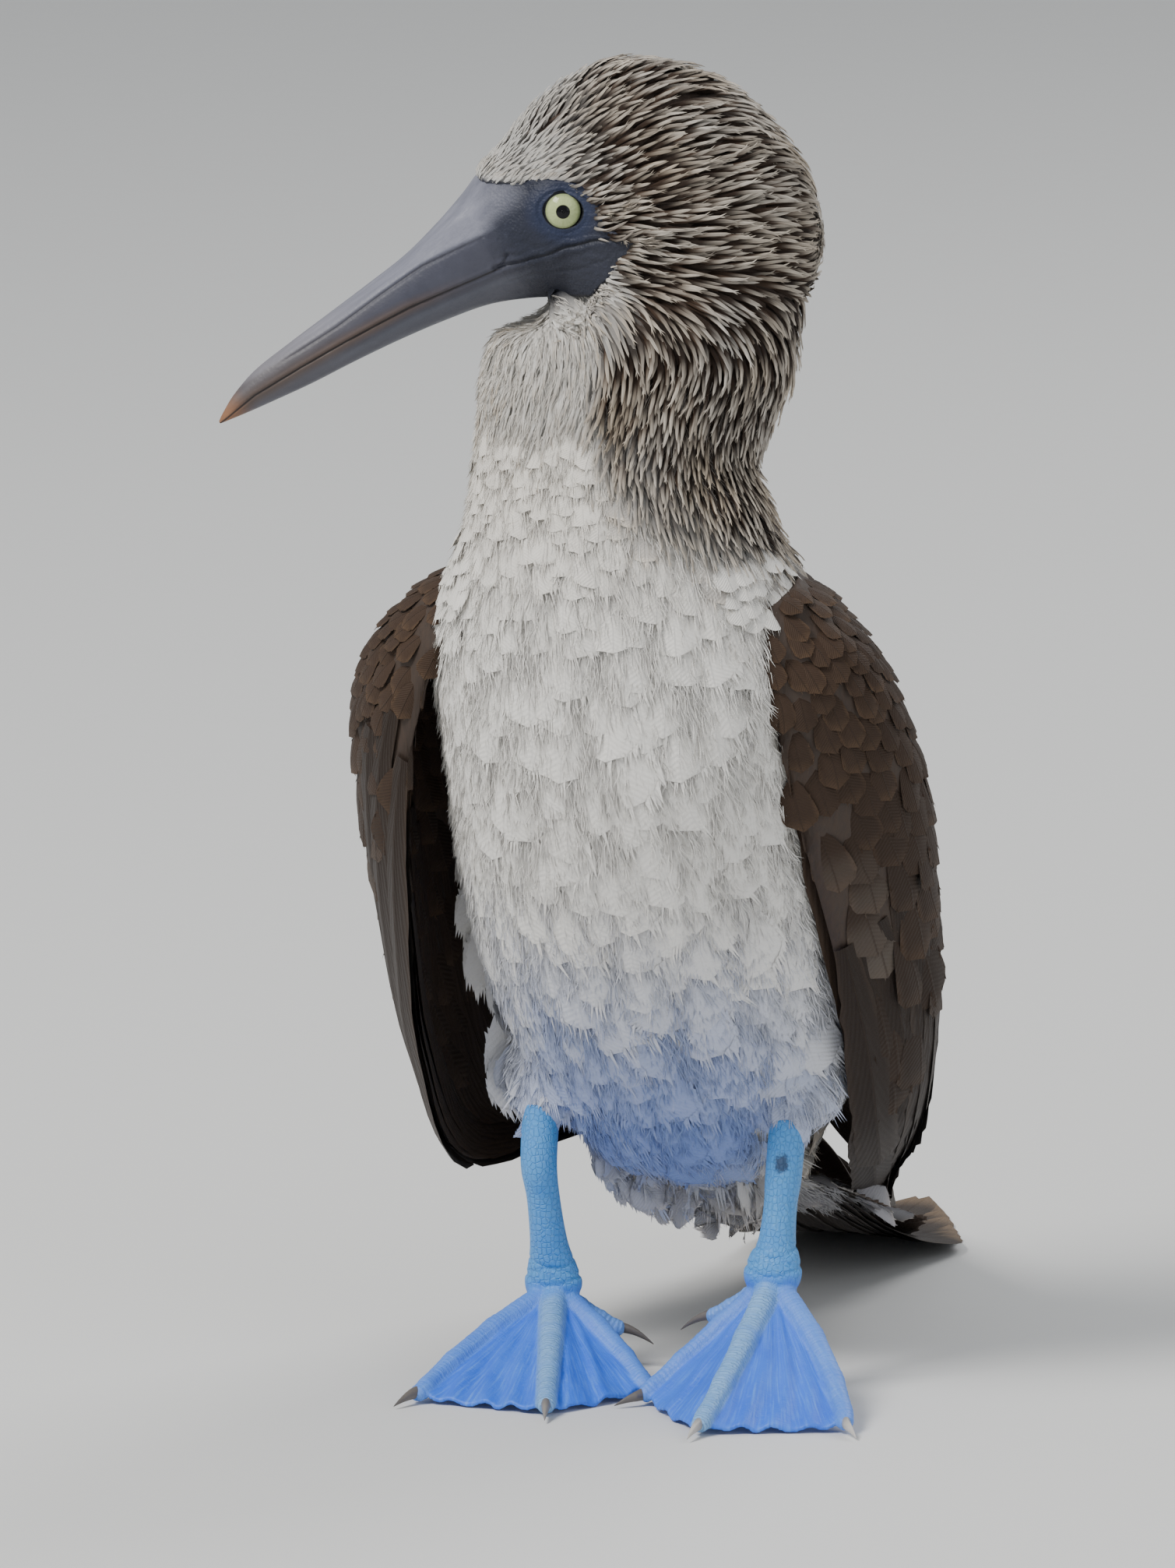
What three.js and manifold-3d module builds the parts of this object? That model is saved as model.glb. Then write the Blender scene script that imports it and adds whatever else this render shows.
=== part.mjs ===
// A blue-footed booby standing upright with its head turned to its right: a still, life-size model.
// Millimetres, +Z up. The bird faces -Y and its left side is +X. Each named mesh is one part of the body.
import * as THREE from "three";
import { mergeVertices } from "three/addons/utils/BufferGeometryUtils.js";
import Module from "manifold-3d";

const wasm = await Module();
wasm.setup();

// Driving dimensions
const gap = 0.3; // air between neighbouring parts
const sliver = 0.03; // corners nearer than this to their neighbours' planes are merged
const headTurn = 73; // degrees that the bill turns to the bird's right
const headAt = new THREE.Vector3(-18, -37, 361.2); // in the head's middle, just under the eyes
const neckTwist = 17; // degrees that the neck's section turns with the head
const billPitch = 33; // degrees that the bill points down
const billStart = 22; // from the eyes to the bill's base, along the bill
const billTip = 119.5; // from the eyes to the bill's tip, along the bill
const gapeSlope = 0.132; // rise of the mouth line over the bill's own axis
const gapeDrop = 6.7; // the mouth line below the bill's axis, beside the eyes
const eyeRadius = 7.5;
const eyeSide = 16.5; // from the middle of the head to each eye's centre
const eyeRise = 4.1; // of the eyes' centres over the head's origin
const chinLevel = 334; // where the head parts from the neck
const collar = { point: new THREE.Vector3(0, -32, 250), lean: 0.2 }; // where the neck parts from the trunk
const wingPart = { point: new THREE.Vector3(0, 74, 92), slope: 1.25 }; // where the wing's two parts meet
const legTop = 66; // height of the feather edge on the legs
const legHead = { x: 38.5, y: 4.5 }; // where each leg leaves the feathers
const ankleRise = 6; // from the middle of a foot's knuckle up to its shank
const webThick = 1.4;
const toeSides = 7;
const clawLength = 9;
const tailLength = 208;

// Side of the body, the knuckle's middle and, in degrees outwards, the way the foot points
const leftSpread = { outer: 41, middle: 0, inner: -46, hind: -92 };
const rightSpread = { outer: 38, middle: 0, inner: -38, hind: -96 };
const feet = {
  left: { side: 1, x: 37, y: -1, z: 37, heading: -4, spread: leftSpread },
  right: { side: -1, x: -36.6, y: 14, z: 27, heading: -15, spread: rightSpread },
};
// Length from the knuckle to the claw, radius at the root and at the end, height of the end on the ground.
// The hind toe hangs clear of the ground, its end that far below the knuckle.
const hindDrop = 15;
const toes = {
  outer: { length: 70, root: 4.6, end: 3.1, rest: () => 2.7 },
  middle: { length: 73, root: 5, end: 3.3, rest: () => 2.9 },
  inner: { length: 55, root: 4.6, end: 3.1, rest: () => 2.7 },
  hind: { length: 26, root: 3.6, end: 2.5, rest: (foot) => foot.z - hindDrop },
};

// Trunk and neck, from the rump up: x, y, z, half width, depth to the breast, depth to the back, twist
const bodyRows = [
  [0, 92, 46, 14, 9, 9, 0],
  [0, 77, 64, 34, 28, 21, 0],
  [0, 53, 96, 53, 54, 37, 0],
  [0, 26, 133, 62, 61, 48, 0],
  [0, 3, 169, 64, 62, 52, 0],
  [0, -17, 204, 62, 58, 51, 0],
  [-1, -30, 238, 61, 50, 47, 0.3],
  [-2, -35, 266, 50, 43, 42, 0.7],
  [-3, -34, 290, 44, 38, 38, 1],
  [2, -32, 314, 46, 36, 36, 1],
  [13, -28, 336, 42, 33, 33, 1],
  [10, -29, 354, 28, 22, 22, 1],
];
// Skull with its feathers, from the nape forward: forward, top, bottom, half width
const skullRows = [
  [-76.5, -3, -13, 5],
  [-72.5, 13, -27, 14],
  [-65, 25, -38, 22],
  [-54, 36, -47, 28],
  [-41, 42.6, -53, 30.5],
  [-27, 46.4, -56, 29.5],
  [-13, 46.8, -48, 26],
  [-1, 42, -27, 21.6],
  [10, 34, -18, 18],
  [19, 24, -14, 15],
  [26, 13, -8, 12],
  [28.5, 7, 1, 8],
];
// Face and bill along the bill's axis: along, culmen above, jaw below, half width
const billRows = [
  [-15, 14, -15, 11],
  [-6, 22, -23, 18.5],
  [4, 25.5, -25, 20.3],
  [13, 24.6, -20.6, 18],
  [22, 21.4, -15.4, 14.6],
  [33, 18.2, -10.6, 11.4],
  [46, 15.4, -7.6, 9.1],
  [60, 14.1, -5.2, 7.5],
  [75, 13, -3.3, 6.2],
  [90, 11.9, -1.8, 5.1],
  [102, 10.7, -0.1, 4],
  [111, 8.1, 1.3, 2.7],
  [117, 5.2, 2.4, 1.4],
  [billTip, 3.6, 2.9, 0.5],
];
// Folded wings from the wrist to the tip: lower edge, outermost line and upper edge as x, y, z, then
// thickness. The left one is held close, the right one hangs a little away from the body.
const wingTipRows = [
  [26, 146, 37, 29, 164, 45, 4, 172, 52, 6],
  [13, 196, 23, 15, 205, 28, 4, 208, 33, 4],
  [7, 234, 12, 8, 236, 14, 5, 237, 15.5, 2],
];
const wingRows = {
  left: [
    [44, -52, 246, 55, -35, 254, 40, -14, 260, 6],
    [51, -51, 227, 72, -24, 236, 30, 18, 251, 14],
    [53, -47, 204, 80, -7, 212, 20, 39, 231, 18],
    [57, -35, 174, 82, 10, 184, 13, 56, 204, 19],
    [60, -15, 140, 78, 32, 154, 9, 72, 172, 19],
    [60, 12, 104, 72, 53, 120, 6, 88, 138, 17],
    [54, 44, 74, 62, 79, 90, 5, 106, 104, 13],
    [42, 90, 54, 47, 118, 66, 4, 134, 77, 9],
    ...wingTipRows,
  ],
  right: [
    [44, -52, 246, 55, -35, 254, 40, -14, 260, 6],
    [55, -51, 226, 77, -22, 236, 30, 18, 251, 14],
    [63, -47, 202, 88, -5, 212, 20, 39, 231, 18],
    [70, -37, 170, 87, 12, 183, 13, 56, 204, 19],
    [75, -18, 131, 83, 32, 150, 9, 72, 172, 17],
    [78, 6, 96, 76, 50, 112, 6, 88, 138, 14],
    [68, 24, 61, 66, 74, 80, 5, 106, 104, 10],
    [46, 84, 60, 49, 116, 68, 4, 134, 78, 8],
    ...wingTipRows,
  ],
};
// Tail from the rump to its tip: share of the length, half width, height of its middle, thickness
const tailRows = [
  [0, 13, 50, 12],
  [0.12, 21, 43, 10],
  [0.27, 28, 31, 7],
  [0.44, 33, 19.5, 5],
  [0.6, 36, 11, 4.4],
  [0.74, 33, 5.5, 4],
  [0.86, 23, 2.4, 3.6],
  [0.95, 12, 1.3, 3.2],
  [1, 4, 1.1, 3],
];
const tailStart = 88;

const feathersWhite = new THREE.MeshStandardMaterial({ color: 0xe4e0d8, roughness: 0.9, metalness: 0 });
const feathersStreaked = new THREE.MeshStandardMaterial({ color: 0x85756a, roughness: 0.9, metalness: 0 });
const feathersBrown = new THREE.MeshStandardMaterial({ color: 0x3a2c22, roughness: 0.8, metalness: 0 });
const billHorn = new THREE.MeshStandardMaterial({ color: 0x5a5f70, roughness: 0.5, metalness: 0 });
const eyeYellow = new THREE.MeshStandardMaterial({ color: 0xc9cf9a, roughness: 0.1, metalness: 0 });
const footBlue = new THREE.MeshStandardMaterial({ color: 0x4f8fdc, roughness: 0.6, metalness: 0 });
const clawHorn = new THREE.MeshStandardMaterial({ color: 0x77706a, roughness: 0.5, metalness: 0 });

const radians = THREE.MathUtils.degToRad;
const lerp = THREE.MathUtils.lerp;

// The rows read smoothly, from the first at t = 0 to the last at t = 1
function smooth(rows, t) {
  const f = Math.min(Math.max(t, 0), 1) * (rows.length - 1);
  const i = Math.min(Math.floor(f), rows.length - 2);
  const u = f - i;
  const row = (k) => rows[Math.min(Math.max(k, 0), rows.length - 1)];
  return row(i).map((p1, c) => {
    const p0 = row(i - 1)[c];
    const p2 = row(i + 1)[c];
    const p3 = row(i + 2)[c];
    const a = -p0 + 3 * p1 - 3 * p2 + p3;
    const b = 2 * p0 - 5 * p1 + 4 * p2 - p3;
    return p1 + 0.5 * u * (p2 - p0 + u * (b + u * a));
  });
}

// A closed skin over loops of points, each loop with as many points, capped at both ends
function skinOver(loops) {
  const count = loops[0].length;
  const points = loops.flat();
  const middle = (loop) => loop.reduce((sum, p) => sum.add(p), new THREE.Vector3()).divideScalar(count);
  points.push(middle(loops[0]), middle(loops[loops.length - 1]));
  const index = [];
  for (let i = 0; i < loops.length - 1; i++) {
    for (let j = 0; j < count; j++) {
      const a = i * count + j;
      const b = i * count + ((j + 1) % count);
      index.push(a, b, b + count, a, b + count, a + count);
    }
  }
  const last = (loops.length - 1) * count;
  for (let j = 0; j < count; j++) {
    const next = (j + 1) % count;
    index.push(points.length - 2, next, j, points.length - 1, last + j, last + next);
  }
  const geometry = new THREE.BufferGeometry().setFromPoints(points);
  geometry.setIndex(index);
  return geometry;
}

// A loop of points round a centre: half width along side, above along up, below against it
function ovalLoop(centre, side, up, half, above, below, sides) {
  return Array.from({ length: sides }, (_, j) => {
    const a = (j / sides) * 2 * Math.PI;
    const rise = Math.sin(a) * (Math.sin(a) > 0 ? above : below);
    return centre.clone().addScaledVector(side, Math.cos(a) * half).addScaledVector(up, rise);
  });
}

// A geometry as a solid, turned the right way out
function solidOf(geometry) {
  const bare = new THREE.BufferGeometry().setAttribute("position", geometry.getAttribute("position"));
  bare.setIndex(geometry.getIndex());
  const merged = mergeVertices(bare, 1e-4);
  const make = (triVerts) =>
    new wasm.Manifold(
      new wasm.Mesh({ numProp: 3, vertProperties: merged.attributes.position.array, triVerts }),
    );
  const solid = make(new Uint32Array(merged.index.array));
  return solid.volume() > 0 ? solid : make(new Uint32Array(merged.index.array).reverse());
}

// The largest body of a solid that a cut may have left in pieces, without the slivers along the cuts
function largest(solid) {
  return solid.decompose().reduce((a, b) => (a.volume() > b.volume() ? a : b)).simplify(sliver);
}

function meshOf(name, solid, material) {
  const made = solid.getMesh();
  const corners = new Float32Array(made.numVert * 3);
  for (let i = 0; i < made.numVert; i++) {
    corners.set(made.vertProperties.subarray(i * made.numProp, i * made.numProp + 3), i * 3);
  }
  const geometry = new THREE.BufferGeometry();
  geometry.setAttribute("position", new THREE.BufferAttribute(corners, 3));
  geometry.setIndex(new THREE.BufferAttribute(made.triVerts, 1));
  geometry.computeVertexNormals();
  const mesh = new THREE.Mesh(geometry, material);
  mesh.name = name;
  return mesh;
}

// The solid's two sides of a plane through a point, with the parts' gap between them: above it, then below
function parted(solid, point, normal) {
  const n = normal.clone().normalize();
  const level = n.dot(point);
  return [
    solid.trimByPlane(n.toArray(), level + gap / 2),
    solid.trimByPlane(n.clone().negate().toArray(), -level + gap / 2),
  ];
}

// Trunk and neck as one tube along a bent line, its sections square to the line; grow adds to every radius
function bodyTube(grow) {
  const rings = 27;
  const sides = 22;
  const step = 0.004;
  const centreAt = (t) => new THREE.Vector3(...smooth(bodyRows, t).slice(0, 3));
  const loops = [];
  for (let i = 0; i <= rings; i++) {
    const t = i / rings;
    const [, , , half, breast, back, twist] = smooth(bodyRows, t);
    const along = centreAt(Math.min(t + step, 1)).sub(centreAt(Math.max(t - step, 0))).normalize();
    const turn = radians(neckTwist * twist);
    const side = new THREE.Vector3(Math.cos(turn), Math.sin(turn), 0);
    const up = along.clone().cross(side).normalize();
    side.crossVectors(up, along);
    loops.push(ovalLoop(centreAt(t), side, up, half + grow, back + grow, breast + grow, sides));
  }
  return solidOf(skinOver(loops));
}

// From the head's own frame, facing -Y with the eyes level with its origin, to the bird's
const headFrame = new THREE.Matrix4()
  .makeRotationZ(-radians(headTurn))
  .setPosition(headAt);

function headSolid(geometry) {
  return solidOf(geometry.applyMatrix4(headFrame));
}

function skull() {
  const rings = 18;
  const side = new THREE.Vector3(1, 0, 0);
  const up = new THREE.Vector3(0, 0, 1);
  const loops = Array.from({ length: rings + 1 }, (_, i) => {
    const [forward, top, bottom, half] = smooth(skullRows, i / rings);
    const level = (top + bottom) / 2;
    const tall = (top - bottom) / 2;
    return ovalLoop(new THREE.Vector3(0, -forward, level), side, up, half, tall, tall, 18);
  });
  return headSolid(skinOver(loops));
}

// A point of the head's frame from a distance along the bill's axis and one above it
function onBill(along, above) {
  const c = Math.cos(radians(billPitch));
  const s = Math.sin(radians(billPitch));
  return new THREE.Vector3(0, -(along * c + above * s), above * c - along * s);
}

function faceAndBill() {
  const rings = 24;
  const side = new THREE.Vector3(1, 0, 0);
  const up = onBill(0, 1);
  const loops = Array.from({ length: rings + 1 }, (_, i) => {
    const [along, above, below, half] = smooth(billRows, i / rings);
    const tall = (above - below) / 2;
    return ovalLoop(onBill(along, (above + below) / 2), side, up, half, tall, tall, 16);
  });
  return headSolid(skinOver(loops));
}

function headDirection(vector) {
  return vector.transformDirection(headFrame);
}

function eyeball(side, radius) {
  const ball = new THREE.SphereGeometry(radius, 12, 7);
  ball.rotateZ(-Math.PI / 2);
  ball.translate(side * eyeSide, 0, eyeRise);
  return headSolid(ball);
}

// The folded wing as a curved blade: each section is an arc over three points, thickest in the middle
function wingBlade(side, rows) {
  const lengthSteps = 17;
  const acrossSteps = 6;
  const edgeThick = 1.6;
  const pointAt = (t, q) => {
    const row = smooth(rows, t);
    const [lower, outer, upper] = [0, 3, 6].map((k) => new THREE.Vector3(...row.slice(k, k + 3)));
    const control = outer.multiplyScalar(2).sub(lower.clone().add(upper).multiplyScalar(0.5));
    return new THREE.QuadraticBezierCurve3(lower, control, upper).getPoint(q);
  };
  const loops = [];
  for (let i = 0; i <= lengthSteps; i++) {
    const t = i / lengthSteps;
    const thick = smooth(rows, t)[9];
    const inward = [];
    const outward = [];
    for (let j = 0; j <= acrossSteps; j++) {
      const q = j / acrossSteps;
      const across = pointAt(t, Math.min(q + 0.05, 1)).sub(pointAt(t, Math.max(q - 0.05, 0)));
      const along = pointAt(Math.min(t + 0.02, 1), q).sub(pointAt(Math.max(t - 0.02, 0), q));
      const out = along.cross(across).normalize();
      const depth = edgeThick + (thick - edgeThick) * Math.sin(Math.PI * q) ** 0.6;
      const skin = pointAt(t, q);
      outward.push(skin.clone().addScaledVector(out, edgeThick / 2));
      inward.unshift(skin.clone().addScaledVector(out, edgeThick / 2 - depth));
    }
    loops.push([...outward, ...inward]);
  }
  const blade = skinOver(loops);
  blade.scale(side, 1, 1);
  return solidOf(blade);
}

function tailPlate(grow) {
  const rings = 15;
  const side = new THREE.Vector3(1, 0, 0);
  const up = new THREE.Vector3(0, 0, 1);
  const loops = Array.from({ length: rings + 1 }, (_, i) => {
    const [share, half, level, thick] = smooth(tailRows, i / rings);
    const centre = new THREE.Vector3(0, tailStart + share * tailLength, level);
    return ovalLoop(centre, side, up, half + grow, thick / 2 + grow, thick / 2 + grow, 12);
  });
  return solidOf(skinOver(loops));
}

// A tapered rod over rows of x, y, z, half width, depth forward, depth backward
function rod(rows, rings, sides) {
  const centreAt = (t) => new THREE.Vector3(...smooth(rows, t).slice(0, 3));
  const loops = Array.from({ length: rings + 1 }, (_, i) => {
    const t = i / rings;
    const [, , , half, front, back] = smooth(rows, t);
    const along = centreAt(Math.min(t + 0.02, 1)).sub(centreAt(Math.max(t - 0.02, 0))).normalize();
    const side = new THREE.Vector3(1, 0, 0);
    const up = side.clone().cross(along).normalize();
    side.crossVectors(along, up);
    return ovalLoop(centreAt(t), side, up, half, back, front, sides);
  });
  return solidOf(skinOver(loops));
}

function thigh(foot) {
  const s = foot.side;
  const whole = rod(
    [
      [s * 36, 27, 104, 20, 22, 22],
      [s * 38, 17, 88, 18, 19, 19],
      [s * 39, 10, 77, 12, 12.5, 12.5],
      [s * 39, 6, 70, 8, 8.5, 8.5],
      [s * legHead.x, legHead.y, legTop - 3, 6.8, 7.4, 7.4],
    ],
    8,
    14,
  );
  return whole.trimByPlane([0, 0, 1], legTop);
}

function shank(foot) {
  const bottom = foot.z + ankleRise;
  const row = (share, half, deep) => {
    const [x, y] = [lerp(foot.x, foot.side * legHead.x, share), lerp(foot.y, legHead.y, share)];
    return [x, y, lerp(bottom, legTop, share), half, deep, deep];
  };
  const whole = rod([row(1.1, 5.6, 6.4), row(0.7, 5.1, 6), row(0.3, 6.2, 6.4), row(-0.1, 9.6, 7.6)], 7, 12);
  return whole.trimByPlane([0, 0, 1], bottom).trimByPlane([0, 0, -1], gap - legTop);
}

// A point of a foot at a distance over the ground from its knuckle, at an angle outwards from its heading
function onFoot(foot, angle, distance, height) {
  const a = radians(foot.side * (foot.heading + angle));
  return new THREE.Vector3(foot.x + Math.sin(a) * distance, foot.y - Math.cos(a) * distance, height);
}

// The ground that a toe covers, from its length and the drop from the knuckle to its end
function reachOf(foot, shape) {
  return Math.sqrt(shape.length ** 2 - (foot.z - shape.rest(foot)) ** 2);
}

// The height of a toe's middle line: down from the knuckle, the last of it nearly level
function toeHeight(foot, rest, share) {
  return lerp(rest, foot.z - 2, Math.max(1 - share, 0) ** 1.15);
}

// The web as a thin fan from the hind toe round to the outer one, its edge drawn in between the toes
function web(foot) {
  const fan = ["hind", "inner", "middle", "outer"];
  const dips = [0.8, 0.97, 0.93];
  const anglesEach = 4;
  const reachSteps = 4;
  const rim = 2.5;
  const flat = { side: 1, x: 0, y: 0, heading: 0 };
  const topRows = [];
  const bottomRows = [];
  fan.slice(0, -1).forEach((name, k) => {
    const [from, to] = [toes[name], toes[fan[k + 1]]];
    const start = onFoot(flat, foot.spread[name], reachOf(foot, from) - rim, from.rest(foot));
    const end = onFoot(flat, foot.spread[fan[k + 1]], reachOf(foot, to) - rim, to.rest(foot));
    for (let i = k ? 1 : 0; i <= anglesEach; i++) {
      const q = i / anglesEach;
      const edge = start.clone().lerp(end, q);
      const angle = THREE.MathUtils.radToDeg(Math.atan2(edge.x, -edge.y));
      const reach = Math.hypot(edge.x, edge.y) * (1 - (1 - dips[k]) * Math.sin(Math.PI * q));
      const ray = (lift) =>
        Array.from({ length: reachSteps }, (_, j) => {
          const share = (j + 1) / reachSteps;
          const sag = 1.2 * Math.sin(Math.PI * q) * share;
          const middle = Math.max(toeHeight(foot, edge.z, share) - sag, webThick / 2 - 0.2);
          return onFoot(foot, angle, share * reach, middle + lift);
        });
      topRows.push(ray(webThick / 2));
      bottomRows.push(ray(-webThick / 2));
    }
  });
  const rows = topRows.length;
  const apex = foot.z - 2;
  const points = [
    onFoot(foot, 0, 0, apex + webThick / 2),
    ...topRows.flat(),
    onFoot(foot, 0, 0, apex - webThick / 2),
    ...bottomRows.flat(),
  ];
  const half = 1 + rows * reachSteps;
  const top = (i, j) => (j < 0 ? 0 : 1 + i * reachSteps + j);
  const bottom = (i, j) => half + top(i, j);
  const index = [];
  const quad = (a, b, c, d) => index.push(a, b, c, a, c, d);
  const rimStep = reachSteps - 1;
  for (let i = 0; i < rows - 1; i++) {
    index.push(top(i, -1), top(i, 0), top(i + 1, 0), bottom(i, -1), bottom(i + 1, 0), bottom(i, 0));
    for (let j = 0; j < rimStep; j++) {
      quad(top(i, j), top(i, j + 1), top(i + 1, j + 1), top(i + 1, j));
      quad(bottom(i + 1, j), bottom(i + 1, j + 1), bottom(i, j + 1), bottom(i, j));
    }
    quad(top(i, rimStep), bottom(i, rimStep), bottom(i + 1, rimStep), top(i + 1, rimStep));
  }
  for (let j = -1; j < rimStep; j++) {
    quad(top(0, j + 1), top(0, j), bottom(0, j), bottom(0, j + 1));
    quad(top(rows - 1, j), top(rows - 1, j + 1), bottom(rows - 1, j + 1), bottom(rows - 1, j));
  }
  const geometry = new THREE.BufferGeometry().setFromPoints(points);
  geometry.setIndex(index);
  return solidOf(geometry);
}

// A toe or a claw: a rod of upright sections, its radius, distance and height given along it
function digit(foot, angle, rings, sides, sectionAt) {
  const a = radians(foot.side * (foot.heading + angle));
  const side = new THREE.Vector3(Math.cos(a), Math.sin(a), 0);
  const up = new THREE.Vector3(0, 0, 1);
  const loops = Array.from({ length: rings + 1 }, (_, i) => {
    const { radius, distance, height } = sectionAt(i / rings);
    return ovalLoop(onFoot(foot, angle, distance, height), side, up, radius, radius, radius, sides);
  });
  return solidOf(skinOver(loops));
}

function toe(foot, name) {
  const shape = toes[name];
  const reach = reachOf(foot, shape);
  return digit(foot, foot.spread[name], 5, toeSides, (share) => ({
    radius: lerp(shape.root, shape.end, share),
    distance: share * reach,
    height: toeHeight(foot, shape.rest(foot), share),
  }));
}

function claw(foot, name) {
  const shape = toes[name];
  const start = reachOf(foot, shape) + gap;
  const drop = name === "hind" ? 5 : 2.2;
  return digit(foot, foot.spread[name], 4, 6, (share) => ({
    radius: lerp(shape.end * 0.72, 0.5, share ** 1.3),
    distance: start + share * clawLength,
    height: shape.rest(foot) + 0.4 - drop * share ** 1.6,
  })).trimByPlane([0, 0, 1], 0);
}

function footSolid(foot) {
  const knuckle = rod(
    [
      [foot.x, foot.y, foot.z + ankleRise + 2, 9.4, 7.6, 7.6],
      [foot.x, foot.y - 1, foot.z, 10.6, 8.4, 7.6],
      [foot.x, foot.y - 2, foot.z - 7.4, 6, 6.4, 5.2],
    ],
    4,
    12,
  );
  const whole = Object.keys(toes).reduce((sum, name) => sum.add(toe(foot, name)), web(foot).add(knuckle));
  return largest(whole.trimByPlane([0, 0, 1], 0).trimByPlane([0, 0, -1], gap - ankleRise - foot.z));
}

// The flesh, joined and then parted into head, neck and trunk
const tube = bodyTube(0);
const clearOfBody = bodyTube(gap + 0.2);
const face = faceAndBill();
const chinUp = new THREE.Vector3(0, 0, 1);
const chinPoint = new THREE.Vector3(0, 0, chinLevel);
const [headOfTube, belowChin] = parted(tube.add(skull()), chinPoint, chinUp);
const billPoint = onBill(billStart, 0).applyMatrix4(headFrame);
const billNormal = headDirection(onBill(1, 0));
const [bill, cheeks] = parted(face, billPoint, billNormal);
const gapePoint = onBill(0, -gapeDrop).applyMatrix4(headFrame);
const gapeNormal = headDirection(onBill(-gapeSlope, 1));
const [upperBill, lowerBill] = parted(bill, gapePoint, gapeNormal);
const behindBill = parted(headOfTube, billPoint, billNormal)[1];
const aboveChin = parted(cheeks, chinPoint, chinUp)[0];
const sockets = eyeball(1, eyeRadius + gap).add(eyeball(-1, eyeRadius + gap));
const head = largest(behindBill.add(aboveChin).subtract(sockets));
const collarNormal = new THREE.Vector3(0, -collar.lean, 1);
const [neck, trunk] = parted(belowChin, collar.point, collarNormal);

const bird = new THREE.Group();
const add = (name, solid, material) => bird.add(meshOf(name, solid, material));
add("head", head, feathersStreaked);
add("neck", largest(neck), feathersStreaked);
add("trunk", largest(trunk), feathersWhite);
add("bill_upper", upperBill, billHorn);
add("bill_lower", lowerBill, billHorn);

const tail = largest(tailPlate(0).trimByPlane([0, 0, 1], 0).subtract(clearOfBody));
const clearOfTail = tailPlate(gap + 0.2);
add("tail", tail, feathersBrown);

for (const [name, foot] of Object.entries(feet)) {
  add(`eye_${name}`, eyeball(foot.side, eyeRadius), eyeYellow);
  const blade = wingBlade(foot.side, wingRows[name]).subtract(clearOfBody).subtract(clearOfTail);
  const slant = new THREE.Vector3(0, wingPart.slope, -1);
  const [flight, coverts] = parted(blade, wingPart.point, slant);
  add(`wing_${name}_coverts`, largest(coverts), feathersBrown);
  add(`wing_${name}_flight`, largest(flight), feathersBrown);
  add(`thigh_${name}`, largest(thigh(foot).subtract(clearOfBody)), feathersWhite);
  add(`shank_${name}`, shank(foot), footBlue);
  add(`foot_${name}`, footSolid(foot), footBlue);
  for (const toeName of Object.keys(toes)) {
    add(`claw_${name}_${toeName}`, claw(foot, toeName), clawHorn);
  }
}

// The origin is on the floor, under the middle of the model's box
const box = new THREE.Box3().setFromObject(bird);
bird.position.set(-(box.min.x + box.max.x) / 2, -(box.min.y + box.max.y) / 2, -box.min.z);

export default bird;
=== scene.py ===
import math

import bpy
import numpy as np
from mathutils import Matrix, Vector
from mathutils.bvhtree import BVHTree
from mathutils.kdtree import KDTree


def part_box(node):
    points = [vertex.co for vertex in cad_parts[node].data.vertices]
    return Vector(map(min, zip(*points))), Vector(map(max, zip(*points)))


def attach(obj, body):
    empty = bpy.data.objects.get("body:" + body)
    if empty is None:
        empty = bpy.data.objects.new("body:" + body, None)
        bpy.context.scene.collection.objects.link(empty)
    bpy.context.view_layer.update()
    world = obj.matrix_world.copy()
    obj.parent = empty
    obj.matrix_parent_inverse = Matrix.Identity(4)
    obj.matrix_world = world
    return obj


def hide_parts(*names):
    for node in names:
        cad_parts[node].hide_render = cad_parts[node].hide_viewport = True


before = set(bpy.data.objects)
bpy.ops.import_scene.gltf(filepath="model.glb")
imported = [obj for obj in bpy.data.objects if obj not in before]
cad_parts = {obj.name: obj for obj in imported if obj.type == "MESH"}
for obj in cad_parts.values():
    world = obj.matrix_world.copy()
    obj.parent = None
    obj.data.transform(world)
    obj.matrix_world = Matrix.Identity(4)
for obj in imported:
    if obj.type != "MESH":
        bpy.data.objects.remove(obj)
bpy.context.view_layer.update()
print("frame:", len(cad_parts), "nodes")

# The bird's own measures, in the solids' millimetres: it faces -Y and its left side is +X
stance = {
    "headAt": (-18, -37, 361.2),
    "headTurn": 73,  # degrees to the bird's right
    "billPitch": 33,  # degrees down
    "eyeSide": 16.5,
    "eyeRise": 4.1,
    "eyeRadius": 7.5,
    "legHead": (38.5, 4.5, 66),
}
# Middle line of trunk and neck, from the rump up: x, y, z, half width
spineRows = [
    (0, 92, 46, 14), (0, 77, 64, 34), (0, 53, 96, 53), (0, 26, 133, 62), (0, 3, 169, 64), (0, -17, 204, 62),
    (-1, -30, 238, 61), (-2, -35, 266, 50), (-3, -34, 290, 44), (2, -32, 314, 46), (13, -28, 336, 42),
    (10, -29, 354, 28),
]
# Skull with its feathers: forward, top, bottom, half width
skullRows = [
    (-76.5, -3, -13, 5), (-72.5, 13, -27, 14), (-65, 25, -38, 22), (-54, 36, -47, 28), (-41, 42.6, -53, 30.5),
    (-27, 46.4, -56, 29.5), (-13, 46.8, -48, 26), (-1, 42, -27, 21.6), (10, 34, -18, 18), (19, 24, -14, 15),
    (26, 13, -8, 12), (28.5, 7, 1, 8),
]
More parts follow.
